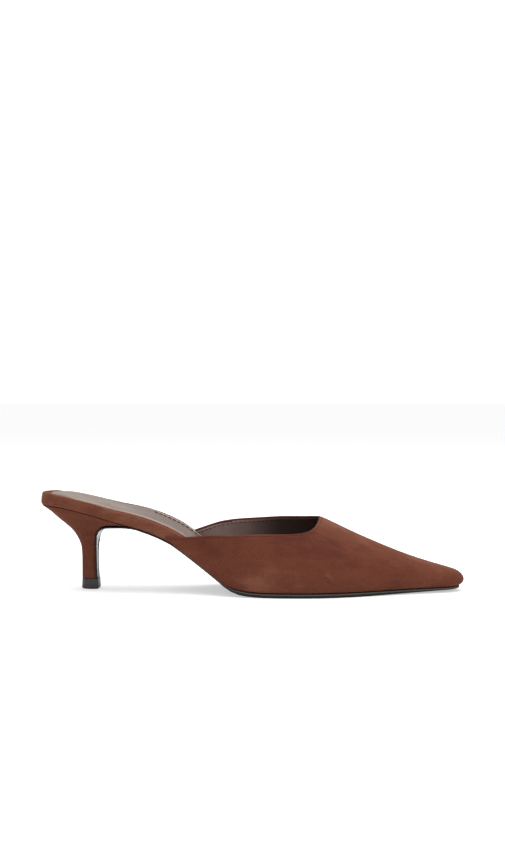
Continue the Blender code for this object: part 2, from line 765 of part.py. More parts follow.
# Assembly
def clear_scene():
    for obj in list(bpy.data.objects):
        bpy.data.objects.remove(obj, do_unlink=True)


def centre_on_floor(pieces):
    """Hangs the pieces on an empty that puts the middle of the shoe's plan over the origin."""
    corners = np.array([v.co for piece in pieces for v in piece.data.vertices])
    low, high = corners.min(axis=0), corners.max(axis=0)
    holder = bpy.data.objects.new("shoe", None)
    holder.location = (-(low[0] + high[0]) / 2, -(low[1] + high[1]) / 2, -low[2])
    for piece in pieces:
        piece.parent = holder
    return holder


def main():
    clear_scene()
    suede = material("brown_suede", (0.150, 0.050, 0.028), 0.95)
    lining = material("taupe_leather", (0.300, 0.235, 0.190), 0.55)
    sole_leather = material("dark_sole", (0.045, 0.038, 0.034), 0.35)
    rubber = material("black_rubber", (0.020, 0.020, 0.021), 0.50)
    pieces = [
        top_piece(rubber),
        heel(suede),
        outsole(sole_leather),
        insole(suede),
        sock(lining),
        upper(suede),
    ]
    shoe = bpy.data.collections.new("mule_pump")
    bpy.context.scene.collection.children.link(shoe)
    for obj in [centre_on_floor(pieces), *pieces]:
        shoe.objects.link(obj)


main()
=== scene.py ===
# %% [markdown]
# # A suede mule with a kitten heel
#
# The shapes of this shoe come from a CAD model that is loaded as a fixed frame. This lesson dresses it:
# each solid gets a finer copy of itself, made softer or crisper as the real piece is, and a finish that is
# built from noise and measured distances instead of pictures. Everything is in metres, the toe points
# along +X and the wearer's inner side is at +Y.

import math

import bpy
import numpy as np
from mathutils import Matrix, Vector, kdtree
from mathutils.bvhtree import BVHTree


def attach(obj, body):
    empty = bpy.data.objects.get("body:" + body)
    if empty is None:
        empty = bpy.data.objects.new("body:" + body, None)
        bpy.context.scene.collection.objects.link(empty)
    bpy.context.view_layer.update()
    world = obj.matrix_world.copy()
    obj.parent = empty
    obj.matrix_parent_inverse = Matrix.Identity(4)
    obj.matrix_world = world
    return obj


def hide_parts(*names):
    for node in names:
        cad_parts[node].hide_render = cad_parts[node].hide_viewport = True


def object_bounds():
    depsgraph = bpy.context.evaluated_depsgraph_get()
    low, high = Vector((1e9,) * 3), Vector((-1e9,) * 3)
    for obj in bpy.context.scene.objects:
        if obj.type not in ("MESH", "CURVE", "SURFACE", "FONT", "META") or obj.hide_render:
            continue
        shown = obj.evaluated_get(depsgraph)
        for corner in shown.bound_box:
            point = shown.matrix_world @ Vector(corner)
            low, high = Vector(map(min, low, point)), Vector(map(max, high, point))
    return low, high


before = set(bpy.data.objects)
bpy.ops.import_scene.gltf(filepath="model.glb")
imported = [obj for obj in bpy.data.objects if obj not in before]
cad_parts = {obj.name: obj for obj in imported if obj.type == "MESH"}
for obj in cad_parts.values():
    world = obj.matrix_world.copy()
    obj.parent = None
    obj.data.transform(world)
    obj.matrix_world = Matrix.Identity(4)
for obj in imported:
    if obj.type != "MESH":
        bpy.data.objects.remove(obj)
CAD_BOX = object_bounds()
MM = 0.001

bpy.ops.object.select_all(action="DESELECT")
length, width, height = (CAD_BOX[1] - CAD_BOX[0]) / MM
print(f"the shoe is {length:.1f} x {width:.1f} x {height:.1f} mm")

# %% [markdown]
# The camera stands about 0.8 m from the shoe, a little above it and turned by three degrees, so that it
# looks onto the side and just over the edge of the heel seat. A longer lens from further away would flatten
# the shoe more, but then the far wing would no longer rise above the near one as it does on the picture.

# %% The camera
CAMERA_AT = (0.0437, -0.8189, 0.1189)
CAMERA_TILT = 1.54
CAMERA_TURN = 3.0
LENS = 55.7
SENSOR = 36

bpy.ops.object.camera_add(
    location=CAMERA_AT,
    rotation=(math.radians(90 - CAMERA_TILT), 0, math.radians(CAMERA_TURN)),
)
camera = bpy.context.object
camera.data.lens = LENS
camera.data.sensor_width = SENSOR
bpy.context.scene.camera = camera
print("the camera looks from", [round(c, 3) for c in camera.location])

# %% [markdown]
# A product photograph like this one is taken on a white table that is lit so brightly that it burns out,
# which leaves only the softest of shadows. The table here is one wide plane. Much stronger lamps would burn
# it out too, but they would bleach the shoe. So its shader adds a little light of its own, and only for the
# eye of the camera, which keeps that light off the shoe.

# %% The white table
TABLE_WIDE = 40
TABLE_WHITE = (0.86, 0.86, 0.86, 1)
TABLE_GLOW = 0.47


def brighter_for_camera(tree, socket, lit, seen):
    """Feeds a strength that is one number for the camera and another for all other light."""
    rays = tree.nodes.new("ShaderNodeLightPath")
    strength = tree.nodes.new("ShaderNodeMath")
    strength.operation = "MULTIPLY_ADD"
    strength.inputs[1].default_value = seen - lit
    strength.inputs[2].default_value = lit
    tree.links.new(rays.outputs["Is Camera Ray"], strength.inputs[0])
    tree.links.new(strength.outputs[0], socket)


bpy.ops.mesh.primitive_plane_add(size=TABLE_WIDE, location=(0, 0, 0))
table = bpy.context.object
table.name = "white_table"

table_white = bpy.data.materials.new("table_white")
table_white.use_nodes = True
shader = table_white.node_tree.nodes["Principled BSDF"]
shader.inputs["Base Color"].default_value = TABLE_WHITE
shader.inputs["Roughness"].default_value = 0.9
shader.inputs["Specular IOR Level"].default_value = 0.1
shader.inputs["Emission Color"].default_value = (1, 1, 1, 1)
brighter_for_camera(table_white.node_tree, shader.inputs["Emission Strength"], 0.0, TABLE_GLOW)
table.data.materials.append(table_white)
print("the table is", table.dimensions.x, "m wide")

# %% [markdown]
# The room round the table works the same way: the camera sees it pure white, and the shoe gets about half
# of that light, from all sides. An even room alone would leave the shoe flat, so two panels stand for a
# photographer's soft boxes. The large one overhead draws the soft shadow under the arch and the light on
# the ridge of the vamp, and the small one lifts the side near the toe. Bare bulbs would be simpler to
# place, but their shadows are hard.

# %% A white room
ROOM_SEEN = 1.05
ROOM_LIGHT = 0.57

world = bpy.data.worlds.new("white_room")
bpy.context.scene.world = world
world.use_nodes = True
room = world.node_tree.nodes["Background"]
room.inputs["Color"].default_value = (1, 1, 1, 1)
brighter_for_camera(world.node_tree, room.inputs["Strength"], ROOM_LIGHT, ROOM_SEEN)
bpy.context.scene.view_settings.view_transform = "Standard"
bpy.context.scene.view_settings.look = "None"
print("the room gives", ROOM_LIGHT, "of the light that it shows")

# %% Two soft panels
# Columns: name, where it hangs, what it faces, side in metres, watts
PANELS = [
    ("top_panel", (0.05, 0.12, 1.2), (0, 0, 0), 1.3, 14),
    ("front_panel", (0.8, -1.3, 1.0), (0, 0, 0.02), 0.8, 3),
]

for name, at, towards, side, watts in PANELS:
    bpy.ops.object.light_add(type="AREA", location=at)
    light = bpy.context.object
    light.name = name
    light.data.shape = "SQUARE"
    light.data.size = side
    light.data.energy = watts
    light.rotation_euler = (Vector(towards) - Vector(at)).to_track_quat("-Z", "Y").to_euler()
print(len(PANELS), "panels")

# %% [markdown]
# A finish is a small network of nodes. Effects that several finishes share are made once as node groups
# with named inputs and outputs: the mottled nap of suede, the fine grain of smooth leather, and a soft line
# that runs at a set distance from an edge. The helpers below keep such a network readable: each adds one
# node, links what it is given, and hands back the socket with the result.

# %% Helpers for node networks
def new_group(name, inputs, outputs):
    """A shader node group with named sockets; returns it with its two end nodes."""
    group = bpy.data.node_groups.new(name, "ShaderNodeTree")
    for socket, kind, value in inputs:
        made = group.interface.new_socket(socket, in_out="INPUT", socket_type=kind)
        if value is not None:
            made.default_value = value
    for socket, kind in outputs:
        group.interface.new_socket(socket, in_out="OUTPUT", socket_type=kind)
    return group, group.nodes.new("NodeGroupInput"), group.nodes.new("NodeGroupOutput")


def math_node(tree, operation, first, second=None, third=None):
    """A maths node fed by sockets or numbers; returns its output."""
    node = tree.nodes.new("ShaderNodeMath")
    node.operation = operation
    for socket, value in zip(node.inputs, (first, second, third)):
        if value is None:
            continue
        if isinstance(value, (int, float)):
            socket.default_value = value
        else:
            tree.links.new(value, socket)
    return node.outputs[0]


def mix_colour(tree, share, first, second, blend="MIX"):
    """A colour mix fed by sockets, numbers or colours; returns its output."""
    node = tree.nodes.new("ShaderNodeMix")
    node.data_type = "RGBA"
    node.blend_type = blend
    for socket, value in ((node.inputs[0], share), (node.inputs[6], first), (node.inputs[7], second)):
        if isinstance(value, bpy.types.NodeSocket):
            tree.links.new(value, socket)
        else:
            socket.default_value = value
    return node.outputs[2]


# %% [markdown]
# Noise is a cloud of values between 0 and 1. Stretched along one axis it turns into strokes, and a smooth
# ramp picks out the part that is wanted. Nearly every finish needs both, so each has a helper too.

# %% Helpers for noise
def noise(tree, vector, scale, detail=2.0, stretch=None, roughness=0.5):
    """A noise texture, stretched along the axes where asked; returns its value from 0 to 1."""
    if stretch is not None:
        mapping = tree.nodes.new("ShaderNodeMapping")
        mapping.inputs["Scale"].default_value = stretch
        tree.links.new(vector, mapping.inputs["Vector"])
        vector = mapping.outputs["Vector"]
    node = tree.nodes.new("ShaderNodeTexNoise")
    node.inputs["Scale"].default_value = scale
    node.inputs["Detail"].default_value = detail
    node.inputs["Roughness"].default_value = roughness
    tree.links.new(vector, node.inputs["Vector"])
    return node.outputs["Fac"]


def spread(tree, value, low, high, to_low=0.0, to_high=1.0):
    """Maps a value smoothly from one range to another."""
    node = tree.nodes.new("ShaderNodeMapRange")
    node.interpolation_type = "SMOOTHSTEP"
    tree.links.new(value, node.inputs["Value"])
    for name, number in (("From Min", low), ("From Max", high), ("To Min", to_low), ("To Max", to_high)):
        node.inputs[name].default_value = number
    return node.outputs["Result"]


SKIN_OUTPUTS = [
    ("Colour", "NodeSocketColor"),
    ("Roughness", "NodeSocketFloat"),
    ("Height", "NodeSocketFloat"),
]
print("every skin gives", [socket for socket, kind in SKIN_OUTPUTS])

# %% [markdown]
# Suede is leather with its flesh side out, ground to a short nap. Stroked one way it looks light and the
# other way dark, so a real shoe is mottled in soft patches with finer strokes in them. Grown hair would
# show the nap best, but it takes millions of hairs at this size. Here four layers of noise do the job:
# patches and strokes choose between a dark, a middle and a light brown, and the tooth and the fibres give
# the relief.

# %% The nap of suede
# How fine each layer is, in waves per metre, and how far strokes and fibres are drawn out along X
PATCHES = 42
STROKES = 170
TOOTH = 1300
FIBRES = 2600
DRAWN_OUT = (0.35, 1.0, 1.0)
FIBRES_DRAWN_OUT = (0.4, 1.0, 1.0)


def make_nap_group():
    tree, start, end = new_group(
        "suede_nap",
        [
            ("Vector", "NodeSocketVector", None),
            ("Colour", "NodeSocketColor", (0.15, 0.05, 0.03, 1)),
            ("Brushed light", "NodeSocketColor", (0.2, 0.08, 0.04, 1)),
            ("Brushed dark", "NodeSocketColor", (0.1, 0.03, 0.02, 1)),
            ("Brushed", "NodeSocketFloat", 0.5),
        ],
        SKIN_OUTPUTS,
    )
    vector = start.outputs["Vector"]
    patches = spread(tree, noise(tree, vector, PATCHES, 4.0), 0.25, 0.75, 0.22, 0.78)
    strokes = spread(tree, noise(tree, vector, STROKES, 3.0, DRAWN_OUT), 0.25, 0.75, 0.15, 0.85)
    tooth = noise(tree, vector, TOOTH, 3.0, None, 0.65)
    fibres = noise(tree, vector, FIBRES, 2.0, FIBRES_DRAWN_OUT)
    lay = math_node(tree, "MULTIPLY_ADD", patches, 0.55, math_node(tree, "MULTIPLY", strokes, 0.45))
    # the spots feed this input with the nap's brushing together with painted light and shade
    lay = math_node(tree, "ADD", lay, math_node(tree, "SUBTRACT", start.outputs["Brushed"], 0.5))
    darker = spread(tree, lay, 0.0, 0.5)
    dark = mix_colour(tree, darker, start.outputs["Brushed dark"], start.outputs["Colour"])
    colour = mix_colour(tree, spread(tree, lay, 0.5, 1.0), dark, start.outputs["Brushed light"])
    speckle = spread(tree, tooth, 0.3, 0.7, 0.86, 1.13)
    speckle_colour = tree.nodes.new("ShaderNodeCombineColor")
    for socket in speckle_colour.inputs:
        tree.links.new(speckle, socket)
    colour = mix_colour(tree, 1.0, colour, speckle_colour.outputs[0], "MULTIPLY")
    tree.links.new(colour, end.inputs["Colour"])
    tree.links.new(spread(tree, lay, 0.0, 1.0, 1.0, 0.82), end.inputs["Roughness"])
    height = math_node(tree, "MULTIPLY_ADD", tooth, 0.6, math_node(tree, "MULTIPLY", fibres, 0.4))
    tree.links.new(height, end.inputs["Height"])
    return tree


NAP = make_nap_group()
print(NAP.name, "has", len(NAP.nodes), "nodes")

# %% [markdown]
# The sock, the lining, the sole and the thread are smooth leather or close to it. Their skin has shallow
# pebbles about a millimetre wide, with fine folds between them, a tone that drifts over a few centimetres,
# and a polish that isn't the same everywhere. The pebbles are the cells of a Voronoi texture, whose
# distance to the nearest cell edge dips exactly along the folds. Plain noise would look like cloth.

# %% The grain of smooth leather
PEBBLES = 1100
DRIFT = 55
POLISH = 240
POLISH_VARIES = 0.06


def make_grain_group():
    tree, start, end = new_group(
        "smooth_grain",
        [
            ("Vector", "NodeSocketVector", None),
            ("Colour", "NodeSocketColor", (0.3, 0.24, 0.2, 1)),
            ("Tone", "NodeSocketColor", (0.2, 0.15, 0.12, 1)),
            ("Roughness", "NodeSocketFloat", 0.5),
        ],
        SKIN_OUTPUTS,
    )
    vector = start.outputs["Vector"]
    pebbles = tree.nodes.new("ShaderNodeTexVoronoi")
    pebbles.feature = "DISTANCE_TO_EDGE"
    pebbles.inputs["Scale"].default_value = PEBBLES
    tree.links.new(vector, pebbles.inputs["Vector"])
    folds = spread(tree, pebbles.outputs["Distance"], 0.0, 0.22)
    drift = spread(tree, noise(tree, vector, DRIFT, 3.0), 0.35, 0.7)
    colour = mix_colour(tree, drift, start.outputs["Colour"], start.outputs["Tone"])
    tree.links.new(colour, end.inputs["Colour"])
    patchy = spread(tree, noise(tree, vector, POLISH, 2.0), 0.3, 0.7, -POLISH_VARIES, POLISH_VARIES)
    tree.links.new(math_node(tree, "ADD", start.outputs["Roughness"], patchy), end.inputs["Roughness"])
    tree.links.new(folds, end.inputs["Height"])
    return tree


GRAIN = make_grain_group()
print(GRAIN.name, "has", len(GRAIN.nodes), "nodes")

# %% [markdown]
# Folds, cut edges and seams run along the edges of a piece. Painting them would need a picture, and a line
# at a fixed height would leave the curved edge. So the distance from the edge is measured on the mesh and
# stored there in millimetres, and this group turns it into two masks: one for the line itself, and one for
# all that lies beyond it.

# %% A line along an edge
def make_line_group():
    """A soft line at a set distance from an edge, as a mask from 0 to 1."""
    tree, start, end = new_group(
        "line_from_edge",
        [
            ("Distance", "NodeSocketFloat", 0.0),
            ("At", "NodeSocketFloat", 1.0),
            ("Half width", "NodeSocketFloat", 0.3),
        ],
        [("Line", "NodeSocketFloat"), ("Inside", "NodeSocketFloat")],
    )
    off = math_node(tree, "SUBTRACT", start.outputs["Distance"], start.outputs["At"])
    share = math_node(tree, "DIVIDE", math_node(tree, "ABSOLUTE", off), start.outputs["Half width"])
    tree.links.new(spread(tree, share, 0.0, 1.0, 1.0, 0.0), end.inputs["Line"])
    side = math_node(tree, "DIVIDE", off, start.outputs["Half width"])
    tree.links.new(spread(tree, side, -1.0, 1.0), end.inputs["Inside"])
    return tree


LINE = make_line_group()
print("node groups:", [group.name for group in bpy.data.node_groups])

# %% [markdown]
# A finish itself is one material: its shader, the groups placed in it, and the measures that the mesh
# hands over as attributes. All of them read object coordinates, so a grain stays put when a piece is
# moved, where world coordinates would let it swim. These helpers make and feed such a material.

# %% Helpers for finishes
def finish(name):
    """A new material with its tree, its shader and a socket with object coordinates."""
    made = bpy.data.materials.new(name)
    made.use_nodes = True
    tree = made.node_tree
    shader = tree.nodes["Principled BSDF"]
    places = tree.nodes.new("ShaderNodeTexCoord")
    return made, tree, shader, places.outputs["Object"]


def placed(tree, group, **values):
    """A group placed in a material, with its values or links set by socket name."""
    node = tree.nodes.new("ShaderNodeGroup")
    node.node_tree = group
    for name, value in values.items():
        socket = node.inputs[name.replace("_", " ")]
        if isinstance(value, bpy.types.NodeSocket):
            tree.links.new(value, socket)
        else:
            socket.default_value = value
    return node


def attribute(tree, name):
    """The value of an attribute that is stored on the mesh."""
    node = tree.nodes.new("ShaderNodeAttribute")
    node.attribute_name = name
    return node.outputs["Fac"]


def along_shoe(tree, places):
    """The place along the shoe, from the heel at the back to the toe."""
    node = tree.nodes.new("ShaderNodeSeparateXYZ")
    tree.links.new(places, node.inputs[0])
    return node.outputs["X"]


def bump(tree, shader, height, distance, strength=1.0, after=None):
    """A bump node between a height and the shader's normal."""
    node = tree.nodes.new("ShaderNodeBump")
    node.inputs["Strength"].default_value = strength
    node.inputs["Distance"].default_value = distance
    tree.links.new(height, node.inputs["Height"])
    if after is not None:
        tree.links.new(after, node.inputs["Normal"])
    tree.links.new(node.outputs["Normal"], shader.inputs["Normal"])
    return node.outputs["Normal"]


# %% [markdown]
# Three pieces are covered in the same brown suede, and each shows it a little differently. The upper has a
# folded top edge, darker along its crest, with a shallow groove under it, where the lining's stitches pull
# the suede in; the groove is darkened with painted shade. The rim's nap is set lighter all over, and where
# its edge turns down to the sock it is darkened with painted shade. One function with three switches keeps
# their browns in step. The sheen is what makes suede glow at its outline, and gloss is all but off.

# %% The brown suede
SUEDE = (0.145, 0.045, 0.026, 1)
SUEDE_LIGHT = (0.205, 0.076, 0.047, 1)
SUEDE_DARK = (0.106, 0.030, 0.020, 1)
SUEDE_SHADED = (0.040, 0.014, 0.011, 1)
SHEEN_TINT = (0.95, 0.50, 0.36, 1)
NAP_RELIEF = 0.25 * MM
RIM_NAP_LIGHTER = 0.24
# Distances from the top edge, in millimetres
GROOVE_AT = 1.7
GROOVE_HALF_WIDTH = 0.55
EDGE_HALF_WIDTH = 0.6


def suede_finish(name, warm=0.0, edged=False, shaded=False):
    """Brown suede. warm sets the nap lighter, edged draws the folded edge with painted shade in its groove,
    shaded darkens it with painted shade by a mask.
    """
    made, tree, shader, places = finish(name)
    nap = placed(tree, NAP, Vector=places, Colour=SUEDE, Brushed_light=SUEDE_LIGHT, Brushed_dark=SUEDE_DARK)
    nap_and_painted_light = attribute(tree, "nap_and_painted_light")
    tree.links.new(math_node(tree, "ADD", nap_and_painted_light, warm), nap.inputs["Brushed"])
    colour = nap.outputs["Colour"]
    if shaded:
        # the shaded mask darkens the nap with painted shade
        colour = mix_colour(tree, attribute(tree, "shaded"), colour, SUEDE_SHADED)
    normal = bump(tree, shader, nap.outputs["Height"], NAP_RELIEF, 0.55)
    if edged:
        from_top = attribute(tree, "from_top")
        # painted shade darkens the groove under the fold, and the crest of the top edge is set darker too
        fold = placed(tree, LINE, Distance=from_top, At=GROOVE_AT, Half_width=GROOVE_HALF_WIDTH)
        colour = mix_colour(tree, math_node(tree, "MULTIPLY", fold.outputs["Line"], 0.45), colour, SUEDE_DARK)
        edge = placed(tree, LINE, Distance=from_top, At=0.0, Half_width=EDGE_HALF_WIDTH)
        colour = mix_colour(tree, math_node(tree, "MULTIPLY", edge.outputs["Line"], 0.5), colour, SUEDE_DARK)
        dip = math_node(tree, "MULTIPLY", fold.outputs["Line"], -1.0)
        bump(tree, shader, dip, NAP_RELIEF, 1.0, normal)
    tree.links.new(colour, shader.inputs["Base Color"])
    tree.links.new(nap.outputs["Roughness"], shader.inputs["Roughness"])
    shader.inputs["Specular IOR Level"].default_value = 0.08
    shader.inputs["Sheen Weight"].default_value = 0.13
    shader.inputs["Sheen Roughness"].default_value = 0.40
    shader.inputs["Sheen Tint"].default_value = SHEEN_TINT
    return made


suede = suede_finish("brown_suede", edged=True)
suede_heel = suede_finish("brown_suede_heel")
suede_rim = suede_finish("brown_suede_rim", warm=RIM_NAP_LIGHTER, shaded=True)
print("suedes:", suede.name, suede_heel.name, suede_rim.name)

# %% [markdown]
# Five more finishes differ only in their two tones, roughness, coat and depth of grain: the pale cut edge
# of the sock, the sole's matte bottom, the polished flap on the heel, the rubber of the top piece and the
# thread. The coat is a thin clear layer, as wax or polish leaves it.

# %% Smooth leathers, rubber and thread
def leather_finish(name, colour, tone, roughness, coat=0.0, grain=0.06 * MM):
    """Smooth leather with a fine grain."""
    made, tree, shader, places = finish(name)
    skin = placed(tree, GRAIN, Vector=places, Colour=colour, Tone=tone, Roughness=roughness)
    tree.links.new(skin.outputs["Colour"], shader.inputs["Base Color"])
    tree.links.new(skin.outputs["Roughness"], shader.inputs["Roughness"])
    bump(tree, shader, skin.outputs["Height"], grain, 0.6)
    shader.inputs["Coat Weight"].default_value = coat
    shader.inputs["Coat Roughness"].default_value = 0.12
    return made


# Columns: name, colour, tone, roughness, coat, depth of the grain
LEATHERS = [
    ("sock_cut_edge", (0.50, 0.34, 0.27, 1), (0.38, 0.26, 0.20, 1), 0.75, 0.0, 0.06 * MM),
    ("sole_smooth", (0.040, 0.033, 0.029, 1), (0.028, 0.023, 0.021, 1), 0.30, 0.5, 0.03 * MM),
    ("sole_flap_polished", (0.055, 0.048, 0.046, 1), (0.045, 0.040, 0.038, 1), 0.27, 0.45, 0.0),
    ("black_rubber", (0.040, 0.036, 0.036, 1), (0.030, 0.027, 0.027, 1), 0.38, 0.15, 0.03 * MM),
    ("dark_thread", (0.040, 0.022, 0.018, 1), (0.028, 0.016, 0.013, 1), 0.80, 0.0, 0.06 * MM),
]
sock_edge, sole_bottom, sole_flap, rubber, thread = [leather_finish(*row) for row in LEATHERS]
print("leathers:", [row[0] for row in LEATHERS])

# %% [markdown]
# The sole's cut edge is inked black, and on the photograph a thin greener line runs along it, partly where
# the ink has worn and partly as a painted highlight, where the top of the edge would catch the light. It
# could be modelled as a step in the edge, but it has no depth to speak of. It is drawn as a line at a set
# depth below the top of the sole, which follows the edge round the toe.

# %% The sole's inked edge
INK = (0.016, 0.013, 0.011, 1)
INK_TONE = (0.010, 0.009, 0.008, 1)
INK_WORN_AND_HIGHLIGHT = (0.125, 0.122, 0.098, 1)
PALE_LINE_AT = 0.65
PALE_LINE_HALF_WIDTH = 0.50


def sole_edge_finish():
    """Black edge ink with a paler line, partly wear and partly a painted highlight, by the depth below the
    sole's top in millimetres.
    """
    made, tree, shader, places = finish("sole_edge_ink")
    ink = placed(tree, GRAIN, Vector=places, Colour=INK, Tone=INK_TONE, Roughness=0.50)
    below_top = attribute(tree, "below_top")
    pale_line = placed(tree, LINE, Distance=below_top, At=PALE_LINE_AT, Half_width=PALE_LINE_HALF_WIDTH)
    colour = mix_colour(tree, pale_line.outputs["Line"], ink.outputs["Colour"], INK_WORN_AND_HIGHLIGHT)
    tree.links.new(colour, shader.inputs["Base Color"])
    tree.links.new(ink.outputs["Roughness"], shader.inputs["Roughness"])
    bump(tree, shader, math_node(tree, "MULTIPLY", pale_line.outputs["Line"], -1.0), 0.2 * MM)
    shader.inputs["Specular IOR Level"].default_value = 0.35
    return made


sole_side = sole_edge_finish()
print("the ink wears", PALE_LINE_AT, "mm below the top of the sole")

# %% [markdown]
# The lining is taupe leather at the wings. Under the vamp it looks almost black, partly from wear and
# partly because hardly any light gets in, so its colour darkens along the shoe, partly as painted shade.
# From the root of the wings back it is darkened too, which leaves a lighter band in front of that as a
# painted highlight. Near the top edge the material reads the measured distance: first comes the suede
# that is folded over, painted darker than outside as shade, then the pale line of the lining's cut edge,
# then the lining itself. The fold also stands a little proud.

# %% The lining
LINING = (0.395, 0.280, 0.262, 1)
LINING_TONE = (0.310, 0.215, 0.200, 1)
LINING_ROOT = (0.085, 0.045, 0.038, 1)
LINING_TOE = (0.056, 0.037, 0.029, 1)
# the folded suede is painted darker than the outer suede, as shade inside the shoe
FOLDED_SUEDE_SHADED = (0.060, 0.020, 0.016, 1)
CUT_EDGE = (0.42, 0.30, 0.25, 1)
CUT_EDGE_TOE = (0.15, 0.085, 0.065, 1)
DARKENS_TO_TOE = (-0.022, 0.020)
ROOT_OF_WING = (-0.036, -0.016)
FOLD_ENDS = 1.4
CUT_AT = 1.85


def lining_finish():
    made, tree, shader, places = finish("taupe_lining")
    skin = placed(tree, GRAIN, Vector=places, Colour=LINING, Tone=LINING_TONE, Roughness=0.40)
    along = along_shoe(tree, places)
    # towards the toe the lining and its cut edge darken, partly wear and partly painted shade
    wear_and_shade_to_toe = spread(tree, along, *DARKENS_TO_TOE)
    # from the root of the wings back the lining is darkened, which leaves a lighter band in front as a
    # painted highlight
    root = spread(tree, along, *ROOT_OF_WING, 0.45, 0.0)
    colour = mix_colour(tree, root, skin.outputs["Colour"], LINING_ROOT)
    colour = mix_colour(tree, wear_and_shade_to_toe, colour, LINING_TOE)
    from_top = attribute(tree, "from_top")
    fold = placed(tree, LINE, Distance=from_top, At=FOLD_ENDS, Half_width=0.25)
    cut = placed(tree, LINE, Distance=from_top, At=CUT_AT, Half_width=0.55)
    colour = mix_colour(tree, fold.outputs["Inside"], FOLDED_SUEDE_SHADED, colour)
    pale = mix_colour(tree, wear_and_shade_to_toe, CUT_EDGE, CUT_EDGE_TOE)
    colour = mix_colour(tree, math_node(tree, "MULTIPLY", cut.outputs["Line"], 0.85), colour, pale)
    tree.links.new(colour, shader.inputs["Base Color"])
    rough = math_node(tree, "MULTIPLY_ADD", fold.outputs["Inside"], -0.45, 0.90)
    tree.links.new(rough, shader.inputs["Roughness"])
    normal = bump(tree, shader, skin.outputs["Height"], 0.06 * MM, 0.6)
    bump(tree, shader, fold.outputs["Inside"], 0.4 * MM, 1.0, normal)
    shader.inputs["Specular IOR Level"].default_value = 0.35
    return made


lining = lining_finish()
print("the fold of the suede ends", FOLD_ENDS, "mm below the top edge")

# %% [markdown]
# The sock is the sheet that the foot slides over. It is pale taupe at the heel and rubbed redder towards
# the toe. A paler strip runs along its edge, and on the inner side, where it is sewn down, the strip gets
# wider and a dark line of painted shade lies under the stitches. Wide soft waves in the bump make it lie as
# leather does on a padded board, where a flat sheet would look like card.

# %% The sock's top
SOCK = (0.255, 0.184, 0.140, 1)
SOCK_TONE = (0.190, 0.132, 0.100, 1)
SOCK_SLID = (0.140, 0.080, 0.061, 1)
SOCK_STRIP = (0.44, 0.33, 0.27, 1)
SOCK_DENT_SHADE = (0.075, 0.040, 0.032, 1)
SLID_OVER = (-0.092, -0.046)
STRIP_SHOWS = (-0.085, -0.060)
SOFT_WAVES = 70
WAVE_RELIEF = 2.2 * MM
# Distances from the sock's edge, in millimetres
STRIP_WIDE = 1.5
STRIP_WIDER_WHERE_SEWN = 3.0
SEWN_AT = 5.5
DENT_HALF_WIDTH = 1.0


def sock_finish():
    made, tree, shader, places = finish("taupe_sock")
    skin = placed(tree, GRAIN, Vector=places, Colour=SOCK, Tone=SOCK_TONE, Roughness=0.36)
    along = along_shoe(tree, places)
    colour = mix_colour(tree, spread(tree, along, *SLID_OVER), skin.outputs["Colour"], SOCK_SLID)
    from_edge = attribute(tree, "from_edge")
    sewn = attribute(tree, "sewn")
    strip_ends = math_node(tree, "MULTIPLY_ADD", sewn, STRIP_WIDER_WHERE_SEWN, STRIP_WIDE)
    strip = placed(tree, LINE, Distance=from_edge, At=strip_ends, Half_width=0.4)
    outside = math_node(tree, "SUBTRACT", 1.0, strip.outputs["Inside"])
    outside = math_node(tree, "MULTIPLY", outside, spread(tree, along, *STRIP_SHOWS, 0.15, 0.55))
    colour = mix_colour(tree, outside, colour, SOCK_STRIP)
    row = placed(tree, LINE, Distance=from_edge, At=SEWN_AT, Half_width=DENT_HALF_WIDTH)
    # a line of painted shade under the stitches on the sewn side
    dent_shade = math_node(tree, "MULTIPLY", row.outputs["Line"], sewn)
    colour = mix_colour(tree, math_node(tree, "MULTIPLY", dent_shade, 0.6), colour, SOCK_DENT_SHADE)
    tree.links.new(colour, shader.inputs["Base Color"])
    tree.links.new(skin.outputs["Roughness"], shader.inputs["Roughness"])
    normal = bump(tree, shader, noise(tree, places, SOFT_WAVES, 2.0, DRAWN_OUT), WAVE_RELIEF, 0.5)
    bump(tree, shader, skin.outputs["Height"], 0.05 * MM, 0.5, normal)
    shader.inputs["Coat Weight"].default_value = 0.10
    shader.inputs["Coat Roughness"].default_value = 0.25
    return made


sock_top = sock_finish()
print("finishes:", len(bpy.data.materials))

# %% [markdown]
# Each piece starts as a copy of its solid, so that it sits exactly where the frame carries it. The copy's
# loose triangles are merged and turned back into four-sided faces, its hard edges get a small bevel, and a
# subdivision surface then makes it smooth. Building each one again from a primitive would only lose the
# measured shape.

# %% Helpers for selecting and editing
def lone(made):
    """Leaves one object selected and active."""
    bpy.ops.object.select_all(action="DESELECT")
    made.select_set(True)
    bpy.context.view_layer.objects.active = made


def edit(made, choose="VERT"):
    """Opens one object in edit mode with nothing selected."""
    lone(made)
    bpy.ops.object.mode_set(mode="EDIT")
    bpy.ops.mesh.select_mode(type=choose)
    bpy.ops.mesh.select_all(action="DESELECT")


# %% Finer copies of the solids
def copy_of(node, name):
    """A merged, four-sided copy of a solid, as a free object at the origin."""
    lone(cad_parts[node])
    bpy.ops.object.duplicate()
    made = bpy.context.object
    world_place = made.matrix_world.copy()
    made.parent = None
    made.matrix_world = world_place
    made.name = name
    made.data.name = name
    made.data.materials.clear()
    for key in list(made.keys()):
        del made[key]
    edit(made)
    bpy.ops.mesh.select_all(action="SELECT")
    bpy.ops.mesh.remove_doubles(threshold=0.02 * MM)
    bpy.ops.mesh.customdata_custom_splitnormals_clear()
    bpy.ops.mesh.tris_convert_to_quads(face_threshold=math.radians(40), shape_threshold=math.radians(60))
    bpy.ops.object.mode_set(mode="OBJECT")
    return made


